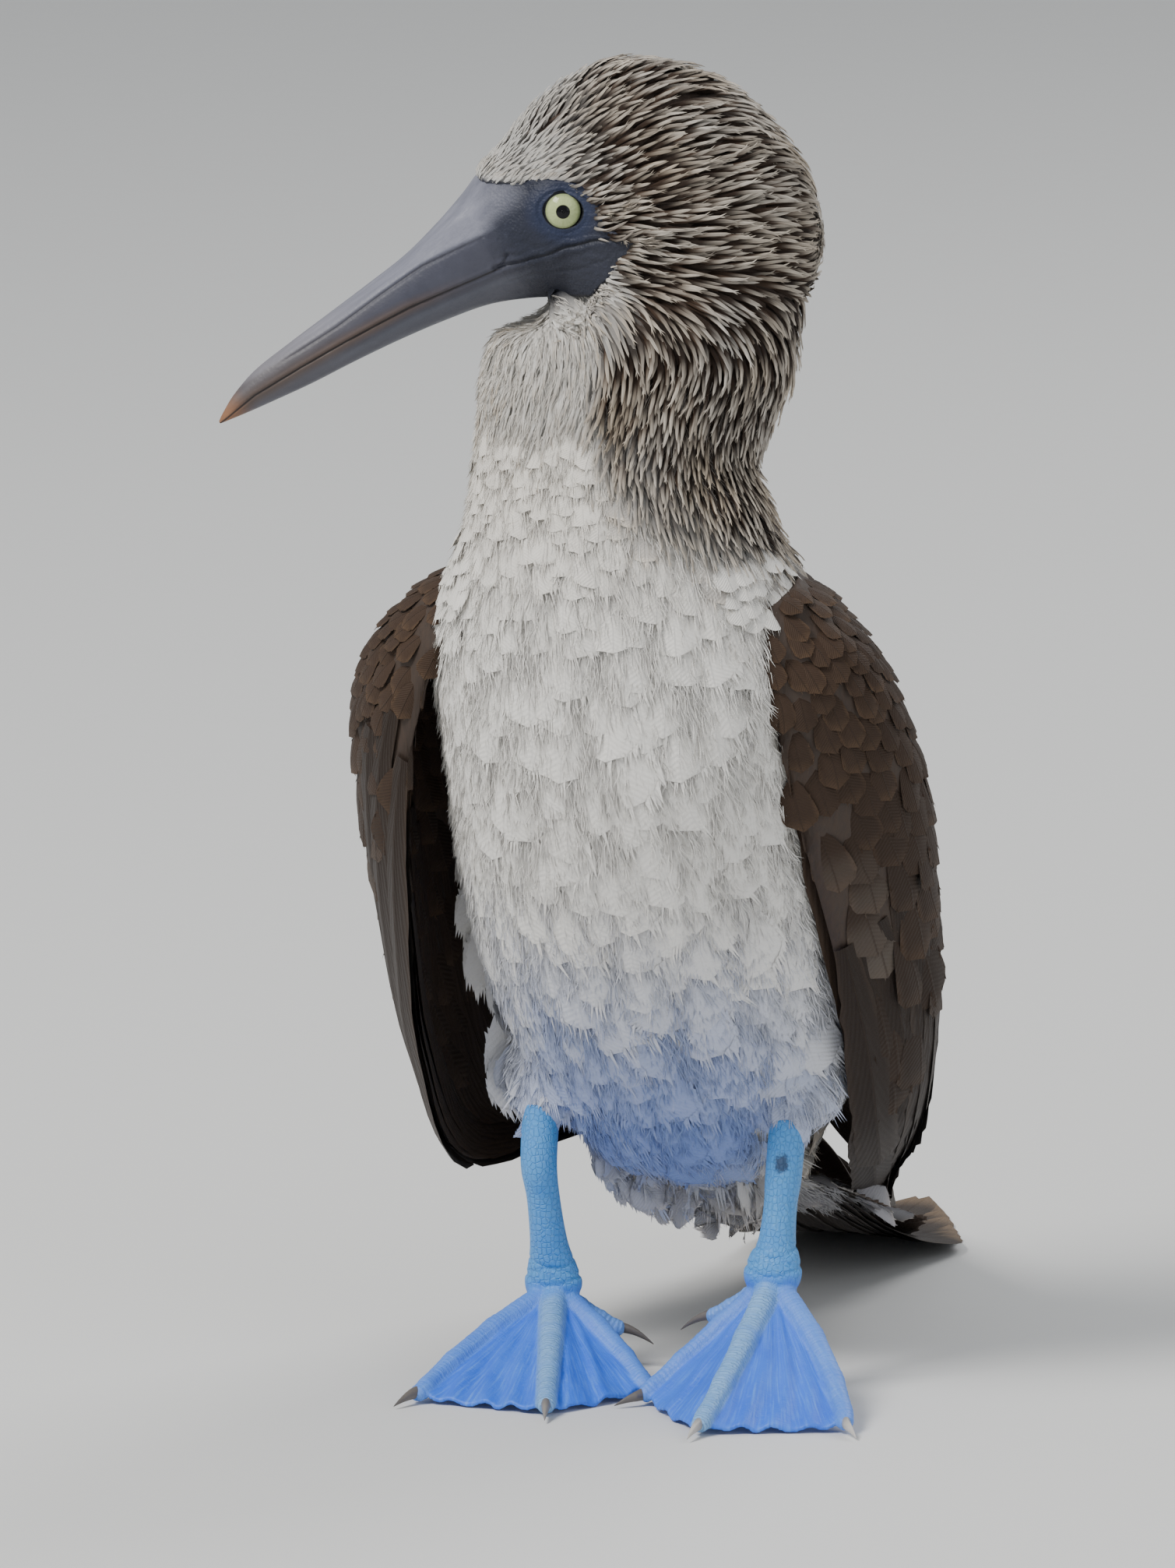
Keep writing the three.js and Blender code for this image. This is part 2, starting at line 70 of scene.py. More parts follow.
# Face and bill along the bill's axis, from inside the skull: along, culmen above, jaw below, half width
faceRows = [
    (-24, 6, -22, 17), (-15, 13, -24, 19), (-6, 21, -25, 20), (4, 25.5, -25, 20.3), (13, 24.6, -20.6, 18),
    (22, 21.4, -15.4, 14.6), (33, 18.2, -10.6, 11.4), (46, 15.4, -7.6, 9.1), (60, 14.1, -5.2, 7.5),
    (75, 13, -3.3, 6.2), (90, 11.9, -1.8, 5.1), (102, 10.7, -0.1, 4), (111, 8.1, 1.3, 2.7),
    (117, 5.2, 2.4, 1.4), (119.5, 3.6, 2.9, 0.5),
]
# Folded wings, wrist to tip: lower edge, outermost line, upper edge, thickness
wingTipRows = [
    (26, 146, 37, 29, 164, 45, 4, 172, 52, 6),
    (13, 196, 23, 15, 205, 28, 4, 208, 33, 4),
    (7, 234, 12, 8, 236, 14, 5, 237, 15.5, 2),
]
wingRows = {
    "left": [
        (44, -52, 246, 55, -35, 254, 40, -14, 260, 6),
        (51, -51, 227, 72, -24, 236, 30, 18, 251, 14),
        (53, -47, 204, 80, -7, 212, 20, 39, 231, 18),
        (57, -35, 174, 82, 10, 184, 13, 56, 204, 19),
        (60, -15, 140, 78, 32, 154, 9, 72, 172, 19),
        (60, 12, 104, 72, 53, 120, 6, 88, 138, 17),
        (54, 44, 74, 62, 79, 90, 5, 106, 104, 13),
        (42, 90, 54, 47, 118, 66, 4, 134, 77, 9),
    ] + wingTipRows,
    "right": [
        (44, -52, 246, 55, -35, 254, 40, -14, 260, 6),
        (55, -51, 226, 77, -22, 236, 30, 18, 251, 14),
        (63, -47, 202, 88, -5, 212, 20, 39, 231, 18),
        (70, -37, 170, 87, 12, 183, 13, 56, 204, 19),
        (75, -18, 131, 83, 32, 150, 9, 72, 172, 17),
        (78, 6, 96, 76, 50, 112, 6, 88, 138, 14),
        (68, 24, 61, 66, 74, 80, 5, 106, 104, 10),
        (46, 84, 60, 49, 116, 68, 4, 134, 78, 8),
    ] + wingTipRows,
}
# Tail: share of its length, half width, height of its middle, thickness
tailRows = [
    (0, 13, 50, 12), (0.12, 21, 43, 10), (0.27, 28, 31, 7), (0.44, 33, 19.5, 5), (0.6, 36, 11, 4.4),
    (0.74, 33, 5.5, 4), (0.86, 23, 2.4, 3.6), (0.95, 12, 1.3, 3.2), (1, 4, 1.1, 3),
]
tailStart, tailLength = 88, 208
sides = {"left": 1, "right": -1}


def smoothRows(rows, t):
    rows = np.asarray(rows, float)
    f = np.clip(np.atleast_1d(t), 0, 1) * (len(rows) - 1)
    i = np.minimum(f.astype(int), len(rows) - 2)
    u = (f - i)[:, None]
    p0, p1, p2, p3 = (rows[np.clip(i + k, 0, len(rows) - 1)] for k in (-1, 0, 1, 2))
    return p1 + 0.5 * u * (p2 - p0 + u * (2 * p0 - 5 * p1 + 4 * p2 - p3 + u * (3 * (p1 - p2) + p3 - p0)))


def unit(v):
    return v / np.maximum(np.linalg.norm(v, axis=-1, keepdims=True), 1e-9)


def ramp(x, low, high):
    u = np.clip((x - low) / (high - low), 0, 1)
    return u * u * (3 - 2 * u)


def lerp(a, b, u):
    return a + (b - a) * u


headAxes = np.array(Matrix.Rotation(-math.radians(stance["headTurn"]), 3, "Z"))
headAt = np.array(stance["headAt"], float)
eyeCorners = [corner for name in ("eye_left", "eye_right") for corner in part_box(name)]
eyesMiddle = sum(np.array(corner) for corner in eyeCorners) / len(eyeCorners) * 1000
shift = eyesMiddle - headAt - (0, 0, stance["eyeRise"])  # from the solids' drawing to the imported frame


def toWorld(p):
    return (np.asarray(p, float) + shift) / 1000


def toDrawing(p):
    return np.asarray(p, float) * 1000 - shift


# Head's own frame: to its left, forward along the bill's heading, up
def fromHead(left, forward, up):
    local = np.stack(np.broadcast_arrays(left, -np.asarray(forward, float), up), -1).astype(float)
    return local @ headAxes.T + headAt


def inHead(p):
    local = (p - headAt) @ headAxes
    return local[:, 0], -local[:, 1], local[:, 2]


class Term:  # a number in a node tree that Python's operators work on
    def __init__(self, tree, socket):
        self.tree, self.socket = tree, socket

    def worked(self, operation, *values):
        return Nodes(self.tree).node("ShaderNodeMath", {"operation": operation}, dict(enumerate(values)))

    def __add__(self, other):
        return self.worked("ADD", self, other)

    def __sub__(self, other):
        return self.worked("SUBTRACT", self, other)

    def __rsub__(self, other):
        return self.worked("SUBTRACT", other, self)

    def __mul__(self, other):
        return self.worked("MULTIPLY", self, other)

    def __abs__(self):
        return self.worked("ABSOLUTE", self)

    def sine(self):
        return self.worked("SINE", self)

    def atLeast(self, other):
        return self.worked("MAXIMUM", self, other)

    __radd__, __rmul__ = __add__, __mul__


def join(tree, socket, value):
    if isinstance(value, list):  # several links into one socket
        for term in value:
            join(tree, socket, term)
    elif isinstance(value, Term):
        tree.links.new(value.socket, socket)
    elif isinstance(value, tuple) and socket.type == "RGBA" and len(value) == 3:
        socket.default_value = (*value, 1)
    else:
        socket.default_value = value


class Nodes:  # makes the nodes of one tree
    def __init__(self, tree):
        self.tree = tree

    def node(self, kind, settings=None, values=None, out=0):
        node = self.tree.nodes.new(kind)
        for key, value in (settings or {}).items():
            setattr(node, key, value)
        for key, value in (values or {}).items():
            join(self.tree, node.inputs[key], value)
        return Term(self.tree, node.outputs[out]) if node.outputs else None


class Paint(Nodes):  # a material on one Principled shader
    def __init__(self, name, **constants):
        self.material = bpy.data.materials.new(name)
        self.material.use_nodes = True
        super().__init__(self.material.node_tree)
        self.shader = self.tree.nodes["Principled BSDF"]
        for key, value in constants.items():
            self.shader.inputs[key.replace("_", " ")].default_value = value

    def attribute(self, name, out="Fac"):
        return self.node("ShaderNodeAttribute", {"attribute_name": name}, out=out)

    def place(self):
        return self.node("ShaderNodeTexCoord", out="Object")

    def step(self, x, low, high):
        settings = {"interpolation_type": "SMOOTHSTEP"}
        return self.node("ShaderNodeMapRange", settings, {"Value": x, "From Min": low, "From Max": high})

    def noise(self, vector, scale, detail=2.0, rough=0.5):
        values = {"Vector": vector, "Scale": scale, "Detail": detail, "Roughness": rough}
        return self.node("ShaderNodeTexNoise", {}, values)

    def cells(self, vector, scale, feature="F1", jitter=1.0):
        values = {"Vector": vector, "Scale": scale, "Randomness": jitter}
        return self.node("ShaderNodeTexVoronoi", {"feature": feature}, values)

    def stretch(self, vector, scale):
        return self.node("ShaderNodeMapping", {}, {"Vector": vector, "Scale": scale})

    def mix(self, factor, a, b, blend="MIX"):
        settings = {"data_type": "RGBA", "blend_type": blend}
        return self.node("ShaderNodeMix", settings, {0: factor, 6: a, 7: b}, out=2)

    def layered(self, colour, *layers):  # a share and a colour for each layer, the lowest first
        for share, over in layers:
            colour = self.mix(share, colour, over)
        return colour

    def dimmed(self, colour, shade):
        shadeGrey = self.node("ShaderNodeCombineColor", {}, {0: shade, 1: shade, 2: shade})
        return self.mix(1.0, colour, shadeGrey, "MULTIPLY")

    def finish(self, colour, roughness, height=None, depth=0.0002):
        values = {"Base Color": colour, "Roughness": roughness}
        if height is not None:
            bump = {"Height": height, "Distance": depth, "Strength": 1.0}
            values["Normal"] = self.node("ShaderNodeBump", {}, bump)
        for key, value in values.items():
            join(self.tree, self.shader.inputs[key], value)
        return self.material


def gridFaces(rows, columns, closed=False):
    i, j = np.meshgrid(np.arange(rows - 1), np.arange(columns if closed else columns - 1), indexing="ij")
    i, j = i.ravel(), j.ravel()
    k = (j + 1) % columns
    return np.stack([i * columns + j, i * columns + k, (i + 1) * columns + k, (i + 1) * columns + j], 1)


def makeMesh(name, points, faces):
    mesh = bpy.data.meshes.new(name)
    mesh.from_pydata(np.asarray(points).tolist(), [], [list(map(int, face)) for face in faces])
    mesh.update()
    mesh.shade_smooth()
    return mesh


def makeObject(name, mesh, material=None):
    thing = bpy.data.objects.new(name, mesh)
    bpy.context.scene.collection.objects.link(thing)
    if material:
        mesh.materials.append(material)
    return thing


def setAttributes(mesh, **facts):  # one number or vector for each vertex
    for name, values in facts.items():
        values = np.asarray(values, float)
        kind, field = ("FLOAT", "value") if values.ndim == 1 else ("FLOAT_VECTOR", "vector")
        layer = mesh.attributes.new(name, kind, "POINT")
        layer.data.foreach_set(field, values.astype(np.float32).ravel())


def plainCopy(thing):  # the evaluated object as a plain mesh, its modifiers gone
    graph = bpy.context.evaluated_depsgraph_get()
    mesh = bpy.data.meshes.new_from_object(thing.evaluated_get(graph))
    thing.modifiers.clear()
    thing.data = mesh


def numbersOf(items, field):
    numbers = np.empty(len(items) * 3)
    items.foreach_get(field, numbers)
    return numbers.reshape(-1, 3)


def surfaceOf(mesh):  # its vertices in drawing millimetres and their normals
    return toDrawing(numbersOf(mesh.vertices, "co")), numbersOf(mesh.vertex_normals, "vector")


def merged(parts):  # one list of points and one of faces from several solids
    points, faces = [], []
    for solid, own in parts:
        start = len(points)
        points += list(solid)
        faces += [tuple(start + i for i in face) for face in own]
    return points, faces


def solidOf(thing):
    points = [(thing.matrix_world @ vertex.co)[:] for vertex in thing.data.vertices]
    return points, [face.vertices[:] for face in thing.data.polygons]


def treeOf(points):
    tree = KDTree(len(points))
    for i, p in enumerate(points):
        tree.insert(p, i)
    tree.balance()
    return tree


def settle(thing, slotName, *replaced):
    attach(thing, "root")
    if replaced:
        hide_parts(*replaced)
    return thing


# Middle line of the body near each point: where on it from 0 to 1, its point and its way towards the head
spineAt = smoothRows(spineRows, np.linspace(0, 1, 240))[:, :3]


def nearSpine(p):
    found = np.empty(len(p), int)
    batch = 20000
    for start in range(0, len(p), batch):
        part = p[start:start + batch]
        found[start:start + batch] = np.argmin(((part[:, None] - spineAt[None]) ** 2).sum(2), 1)
    ahead = unit(np.gradient(spineAt, axis=0))
    return found / (len(spineAt) - 1), spineAt[found], ahead[found]


# The bare face in the side view, forward and up, and how far outside it a point of the head is
faceOutline = np.array([
    (70, 30), (27.5, 12), (15, 11.4), (-1.7, 11.2), (-8.4, 8), (-10.6, 3), (-10.6, -2.6), (-20.9, -3.4),
    (-18.4, -8.4), (-9.5, -17.5), (-6, -23), (4, -25.5), (14, -27), (26, -29), (120, -90),
], float)


def outsideFace(p):
    _, forward, up = inHead(p)
    q = np.stack([forward, up], 1)
    nearest = np.full(len(q), 1e9)
    inside = np.zeros(len(q), bool)
    for a, b in zip(faceOutline, np.roll(faceOutline, -1, 0)):
        u = np.clip(((q - a) @ (b - a)) / ((b - a) @ (b - a)), 0, 1)
        nearest = np.minimum(nearest, np.linalg.norm(q - a - u[:, None] * (b - a), axis=1))
        crosses = (a[1] > q[:, 1]) != (b[1] > q[:, 1])
        inside ^= crosses & (q[:, 0] < a[0] + (b[0] - a[0]) * (q[:, 1] - a[1]) / (b[1] - a[1] + 1e-12))
    far = (p[:, 2] < 300) | (forward < -90)
    return np.where(far, 90, np.where(inside, -nearest, nearest))


def waves(p, size, seed):  # smooth noise around 0, its hills about that size
    maker = np.random.default_rng(seed)
    total, count = np.zeros(len(p)), 7
    for _ in range(count):
        way = unit(maker.normal(size=3)) * maker.uniform(0.6, 1.5) * 2 * math.pi / size
        total += np.sin(p @ way + maker.uniform(0, 2 * math.pi))
    return total / count


turned = math.radians(stance["headTurn"])
throat = np.array([-math.sin(turned), -math.cos(turned), 0])


# How brown the coat is: the head and nape, fading down the neck, and the mantle between the wings
def brownness(p, normals):
    _, centre, _ = nearSpine(p)
    front = unit((p - centre) * (1, 1, 0)) @ throat
    edge = 291 + 30 * np.minimum(front, 0) + 95 * np.maximum(front, 0)
    neck = ramp(p[:, 2] - edge + 14 * waves(p, 16, 5), -14, 12)
    _, forward, up = inHead(p)
    neck = neck * (1 - ramp(forward, -12, 2) * ramp(-up, 12, 20))
    back = ramp(normals @ np.array([0, 0.86, 0.5]), 0.05, 0.5)
    mantle = back * ramp(248 - p[:, 2] + 8 * waves(p, 16, 8), -4, 16) * ramp(p[:, 2], 84, 112)
    mantle = mantle * ramp((p - centre)[:, 1], -6, 10)
    return np.clip(np.maximum(neck, mantle * 0.9), 0, 1)


# How far the skin lies inside the solids, to leave room for the coat
def coatDepth(p):
    _, forward, up = inHead(p)
    depth = lerp(4.2, 2.5 + 1.6 * ramp(-forward, 30, 62), ramp(p[:, 2], 270, 330))
    depth = lerp(depth, 2.6, ramp(90 - p[:, 2], 0, 20))
    bare = outsideFace(p)
    depth = depth + 6.5 * ramp(84 - p[:, 2], 0, 8) * ramp(np.abs(p[:, 0]), 26, 30)
    jaw = ramp(-up, 8, 16) * ramp(forward, -16, -6)
    depth = depth * ramp(bare, -2, 14) + 0.25 + 2.4 * ramp(-bare, -0.5, 2.5) + 5.5 * ramp(-bare, 0, 4)
    return depth + 3.2 * jaw * ramp(9 - np.abs(bare), 0, 9)


# The way the feathers lie: away from the bill on the head, down the neck and body to the tail, down the legs
billRoot = fromHead(0, 34, -6)


def coatFlow(p, normals):
    _, _, ahead = nearSpine(p)
    fromBill = unit(p - billRoot)
    flow = fromBill + (-ahead - fromBill) * ramp(352 - p[:, 2], 0, 50)[:, None]
    legs = ramp(96 - p[:, 2], 0, 22) * ramp(np.abs(p[:, 0]), 20, 32) * ramp(40 - p[:, 1], 0, 14)
    flow = flow + (np.array([0, -0.25, -1]) - flow) * legs[:, None]
    flow += 0.12 * np.stack([waves(p, 30, 21), waves(p, 30, 22), waves(p, 30, 23)], 1)
    return unit(flow - normals * (flow * normals).sum(1)[:, None])


# An unwrap of the skin for the bake: round the body across, along the body up
def unwrapped(p):
    place, centre, _ = nearSpine(p)
    angle = np.arctan2(p[:, 0] - centre[:, 0], -(p[:, 1] - centre[:, 1]))
    onHead = ramp(p[:, 2], 330, 346)
    left, forward, up = inHead(p)
    headAngle = np.arctan2(left, up + 4)
    across = lerp(angle, headAngle, onHead) / (2 * math.pi) + 0.5
    upward = lerp(place * 0.74, 0.8 + 0.19 * (forward + 78) / 110, onHead)
    return np.clip(np.stack([across, upward, np.zeros(len(p))], 1), 0.002, 0.998)


class Surface:  # a mesh in drawing millimetres that feathers are laid on
    def __init__(self, mesh):
        mesh.calc_loop_triangles()
        self.points, self.normals = surfaceOf(mesh)
        self.faces = np.array([triangle.vertices[:] for triangle in mesh.loop_triangles])
        self.tree = BVHTree.FromPolygons(self.points.tolist(), self.faces.tolist())

    def snap(self, p):
        found = [self.tree.find_nearest(Vector(q)) for q in p]
        places = np.array([hit[0][:] for hit in found])
        normals = unit(self.normals[self.faces[[hit[2] for hit in found]]].mean(1))
        return places, normals

    # Points strewn over it with no two nearer than the spacing, which is a function of place
    def scatter(self, spacing, keep, seed):
        crowd = 7  # tries for each spacing squared
        maker = np.random.default_rng(seed)
        a, b, c = (self.points[self.faces[:, k]] for k in range(3))
        areas = np.linalg.norm(np.cross(b - a, c - a), axis=1) / 2
        middles, facing = (a + b + c) / 3, unit(self.normals[self.faces].mean(1))
        weight = areas * keep(middles, facing) / spacing(middles) ** 2
        count = int(weight.sum() * crowd)
        chosen = maker.choice(len(weight), count, p=weight / weight.sum())
        u, v = np.sqrt(maker.random(count)), maker.random(count)
        shares = np.stack([1 - u, u * (1 - v), u * v], 1)[:, :, None]
        p = (self.points[self.faces[chosen]] * shares).sum(1)
        normals = unit((self.normals[self.faces[chosen]] * shares).sum(1))
        apart = spacing(p)
        tree = treeOf(p)
        taken = np.zeros(count, bool)
        kept = []
        for i in range(count):
            if not taken[i]:
                kept.append(i)
                for _, j, _ in tree.find_range(p[i], apart[i]):
                    taken[j] = True
        return p[kept], normals[kept]


# Feathers laid on a surface from their roots: each one's middle line is a curve over root, middle and tip
def lay(surface, roots, normals, flow, length, lift, maker, stray=0.1, sink=0.4):
    length, lift = np.broadcast_to(length, len(roots)), np.broadcast_to(lift, len(roots))
    way = flow(roots, normals)
    side = unit(np.cross(normals, way))
    way = unit(way + side * maker.normal(0, stray, len(roots))[:, None])
    middle, middleNormals = surface.snap(roots + way * (length / 2)[:, None])
    onward = flow(middle, middleNormals)
    side = unit(np.cross(middleNormals, onward))
    onward = unit(onward + side * maker.normal(0, stray, len(roots))[:, None])
    tip, tipNormals = surface.snap(middle + onward * (length / 2)[:, None])
    root = roots - normals * sink
    middle = middle + middleNormals * (lift * 0.62)[:, None]
    tip = tip + tipNormals * lift[:, None]
    roll = maker.normal(0, 0.1, len(roots))[:, None]
    side = unit(np.cross(middleNormals, tip - root))
    side = unit(side + middleNormals * roll)
    return {"root": root, "middle": 2 * middle - (root + tip) / 2, "tip": tip, "side": side}


# One vane: a smooth fan with a fringe of loose barbs round its end, across from -1 to 1 and along from 0 to 1
def vaneProto(name, steps, outline, fringe, reach, seed):
    maker = np.random.default_rng(seed)
    lanes = (-1, -0.52, 0, 0.52, 1)
    points = [(lane * outline(k / steps), k / steps - 0.06 * abs(lane) * (k == steps), 0.12 * (lane == 0))
              for k in range(steps + 1) for lane in lanes]
    faces = gridFaces(steps + 1, len(lanes))[:, ::-1].tolist()
    for k in range(fringe):
        u = (k + 0.5 + 0.3 * maker.normal()) / fringe * 2 - 1
        v = 1 - 0.68 * abs(u) ** 1.6
        wide = outline(v) * np.sign(u) * (0.93 if v < 0.97 else abs(u) * 3)
        out = np.array([np.sign(u) * (0.25 + 0.5 * abs(u)), 0.9 - 0.5 * abs(u)])
        out = out * reach * maker.uniform(0.5, 1.3)
        slim = 0.035 * maker.uniform(0.7, 1.4)
        start = len(points)
        points += [(wide - slim * 1.3, v - 0.05 + slim, 0.02), (wide + slim * 1.3, v - 0.05 - slim, 0.02),
                   (wide + out[0], v + out[1], maker.uniform(-0.25, 0.3))]
        faces.append((start, start + 1, start + 2))
    return protoObject(name, points, faces)


# A wisp of down: a few thin blades that spread from one root
def wispProto(name, blades, spread, slim, seed):
    maker = np.random.default_rng(seed)
    points, faces = [], []
    for k in range(blades):
        away = (k + 0.5) / blades * 2 - 1 + 0.2 * maker.normal()
        length = maker.uniform(0.7, 1.1)
        start = len(points)
        points += [(away * 0.2 - slim, 0, 0), (away * 0.2 + slim, 0, 0),
                   (away * spread * 0.6 + slim * 0.8, length * 0.6, maker.uniform(-0.2, 0.4)),
                   (away * spread * 0.6 - slim * 0.8, length * 0.6, maker.uniform(-0.2, 0.4)),
                   (away * spread, length, maker.uniform(-0.5, 0.5))]
        faces += [(start, start + 1, start + 2, start + 3), (start + 3, start + 2, start + 4)]
    return protoObject(name, points, faces)


def protoObject(name, points, faces):
    across, along, rise = np.array(points, float).T
    mesh = makeMesh(name, points, faces)
    setAttributes(mesh, across=across, along=along, rise=rise)
    return makeObject(name, mesh)


# A narrow plume: a folded strip that tapers to its point
def plumeProto(name, steps, fork, seed):
    maker = np.random.default_rng(seed)
    points = []
    for k in range(steps + 1):
        v = k / steps
        wide = (0.45 + 0.55 * math.sin(min(v * 1.6, 1) * math.pi / 2)) * (1 - max(v - 0.45, 0) / 0.55 * 0.66)
        wide *= 1 + 0.1 * maker.normal()
        points += [(-wide, v, 0), (0, v + 0.02, 0.95), (wide, v, 0)]
    faces = gridFaces(steps + 1, 3).tolist()
    last = len(points) - 3
    if fork:
        points += [(-0.8, 1.13, 0.3), (0.85, 1.16, 0.3), (-0.1, 1.2, 0.7)]
        faces += [(last, last + 1, last + 3), (last + 1, last + 2, last + 4), (last, last + 1, last + 5)]
    else:
        points += [(0, 1.1, 0.3)]
        faces += [(last, last + 1, last + 3), (last + 1, last + 2, last + 3)]
    return protoObject(name, points, faces)


# Variants of one vane, which differ in their seeds
def several(count, make, name, seed, **shape):
    return [make(f"{name}_{k}", seed=seed + k, **shape) for k in range(count)]


# The node tree that sets one vane on each root, bends it along its feather's middle line and unwraps it
def feathersTree(count):
    tree = bpy.data.node_groups.new("Lay feathers", "GeometryNodeTree")
    kinds = {
        "Geometry": "Geometry", **{f"Vane {k + 1}": "Object" for k in range(count)}, "Ruffle": "Float",
        "Ruffle scale": "Float", "Patch": "Float", "Material": "Material",
    }
    for name, kind in kinds.items():
        tree.interface.new_socket(name, in_out="INPUT", socket_type=f"NodeSocket{kind}")
    tree.interface.new_socket("Geometry", in_out="OUTPUT", socket_type="NodeSocketGeometry")
    made = Nodes(tree)
    entry = made.node("NodeGroupInput").socket.node
    given = {name: Term(tree, entry.outputs[name]) for name in kinds}

    def named(name, kind="FLOAT"):
        return made.node("GeometryNodeInputNamedAttribute", {"data_type": kind}, {"Name": name})

    def vector(operation, *values):
        return made.node("ShaderNodeVectorMath", {"operation": operation}, dict(enumerate(values)))

    def scaled(direction, amount):
        return made.node("ShaderNodeVectorMath", {"operation": "SCALE"}, {0: direction, "Scale": amount})

    def instanceOf(vane):
        values = {"Object": given[vane], "As Instance": True}
        return made.node("GeometryNodeObjectInfo", {}, values, out="Geometry")

    instances = [instanceOf(f"Vane {k + 1}") for k in reversed(range(count))]
    vanes = made.node("GeometryNodeJoinGeometry", {}, {0: instances})
    values = {
        "Points": given["Geometry"], "Instance": vanes, "Pick Instance": True,
        "Instance Index": named("kind", "INT"),
    }
    placed = made.node("GeometryNodeInstanceOnPoints", {}, values)
    real = made.node("GeometryNodeRealizeInstances", {}, {"Geometry": placed})
    along, across = named("along"), named("across")
    root, middle, tip = (named(name, "FLOAT_VECTOR") for name in ("root", "middle", "tip"))
    side, wide = named("side", "FLOAT_VECTOR"), named("wide")
    back = 1 - along
    spine = vector("ADD", scaled(root, back * back), scaled(middle, along * back * 2))
    spine = vector("ADD", spine, scaled(tip, along * along))
    first, second = vector("SUBTRACT", middle, root), vector("SUBTRACT", tip, middle)
    way = vector("ADD", scaled(first, back), scaled(second, along))
    up = vector("NORMALIZE", vector("CROSS_PRODUCT", way, side))
    arch = (named("rise") * 0.35 - across * across * named("arch")) * wide
    spot = vector("ADD", spine, scaled(side, across * wide))
    spot = vector("ADD", spot, scaled(up, arch))
    wave = made.node("ShaderNodeTexNoise", {}, {"Vector": spot, "Scale": given["Ruffle scale"]}, out="Color")
    shaken = vector("SUBTRACT", wave, (0.5, 0.5, 0.5))
    spot = vector("ADD", spot, scaled(shaken, given["Ruffle"] * along))
    laid = made.node("GeometryNodeSetPosition", {}, {"Geometry": real, "Position": spot})
    patch = made.node("ShaderNodeCombineXYZ", {}, {"X": across * 0.5 + 0.5, "Y": along, "Z": 0.0})
    unwrap = vector("ADD", named("rootUv", "FLOAT_VECTOR"), scaled(patch, given["Patch"]))
    values = {"Geometry": laid, "Name": "OFBake", "Value": unwrap}
    baked = made.node("GeometryNodeStoreNamedAttribute", {"data_type": "FLOAT2", "domain": "CORNER"}, values)
    for name in ("root", "middle", "tip", "side", "rootUv", "wide", "arch", "rise", "kind"):
        baked = made.node("GeometryNodeRemoveAttribute", {}, {"Geometry": baked, "Name": name})
    done = made.node("GeometryNodeSetMaterial", {}, {"Geometry": baked, "Material": given["Material"]})
    made.node("NodeGroupOutput", {}, {0: done})
    return tree


trees = {}  # by number of vanes
bakePatch = 0.003  # one feather's share of the bake's unwrap


def trianglesOf(mesh):
    return sum(len(face.vertices) - 2 for face in mesh.polygons)


# A coat piece from laid feathers; facts are per-feather numbers that its material reads. It uses up its vanes
def coat(name, slotName, laid, width, vanes, material, maker, ruffle, ruffleScale, arch, **facts):
    count = len(laid["root"])
    mesh = bpy.data.meshes.new(name)
    mesh.from_pydata(np.zeros((count, 3)).tolist(), [], [])
    root, middle, tip = (toWorld(laid[key]) for key in ("root", "middle", "tip"))
    rootUv = laid["rootUv"] if "rootUv" in laid else unwrapped(laid["root"])
    wide, arch = np.broadcast_to(width, count) / 1000, np.broadcast_to(arch, count)
    setAttributes(mesh, root=root, rootUv=rootUv, middle=middle, tip=tip, side=laid["side"])
    setAttributes(mesh, wide=wide, arch=arch, tint=maker.random(count))
    kinds = mesh.attributes.new("kind", "INT", "POINT")
    kinds.data.foreach_set("value", maker.integers(0, len(vanes), count).astype(np.int32))
    setAttributes(mesh, **facts)
    thing = makeObject(name, mesh)
    if len(vanes) not in trees:
        trees[len(vanes)] = feathersTree(len(vanes))
    tree = trees[len(vanes)]
    modifier = thing.modifiers.new("Feathers", "NODES")
    modifier.node_group = tree
    values = {"Ruffle": ruffle / 1000, "Ruffle scale": ruffleScale, "Patch": bakePatch, "Material": material}
    values.update({f"Vane {k + 1}": vane for k, vane in enumerate(vanes)})
    for socket in tree.interface.items_tree:
        if socket.in_out == "INPUT" and socket.name in values:
            modifier[socket.identifier] = values[socket.name]
    plainCopy(thing)
    thing.data.shade_smooth()
    for vane in vanes:
        bpy.data.objects.remove(vane)
    print(f"{name}: {count} feathers, {trianglesOf(thing.data)} triangles")
    settle(thing, slotName)


# Shared colours
colours = {
    "white": (0.80, 0.78, 0.74),
    "cream": (0.62, 0.52, 0.38),
    # a grey for painted shade at the hidden roots of the white vanes
    "shadeGrey": (0.42, 0.40, 0.39),
    "brown": (0.060, 0.036, 0.023),
    "darkBrown": (0.022, 0.014, 0.010),
    "paleBrown": (0.20, 0.14, 0.095),
    "buff": (0.55, 0.45, 0.33),
}

# Skin under the coat: one mesh over head, neck, trunk and thighs
skinSettings = {"voxel": 0.002, "smoothing": 6}


def joinedCopies(name, *nodes):
    return makeObject(name, makeMesh(name, *merged(solidOf(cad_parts[node]) for node in nodes)))


def remeshed(thing, voxel, smoothing):
    modifier = thing.modifiers.new("Remesh", "REMESH")
    modifier.mode, modifier.voxel_size, modifier.use_smooth_shade = "VOXEL", voxel, True
    modifier = thing.modifiers.new("Smooth", "SMOOTH")
    modifier.factor, modifier.iterations = 0.5, smoothing
    plainCopy(thing)
    return surfaceOf(thing.data)


def setPoints(mesh, points):
    mesh.vertices.foreach_set("co", np.ascontiguousarray(points, float).ravel())
    mesh.update()


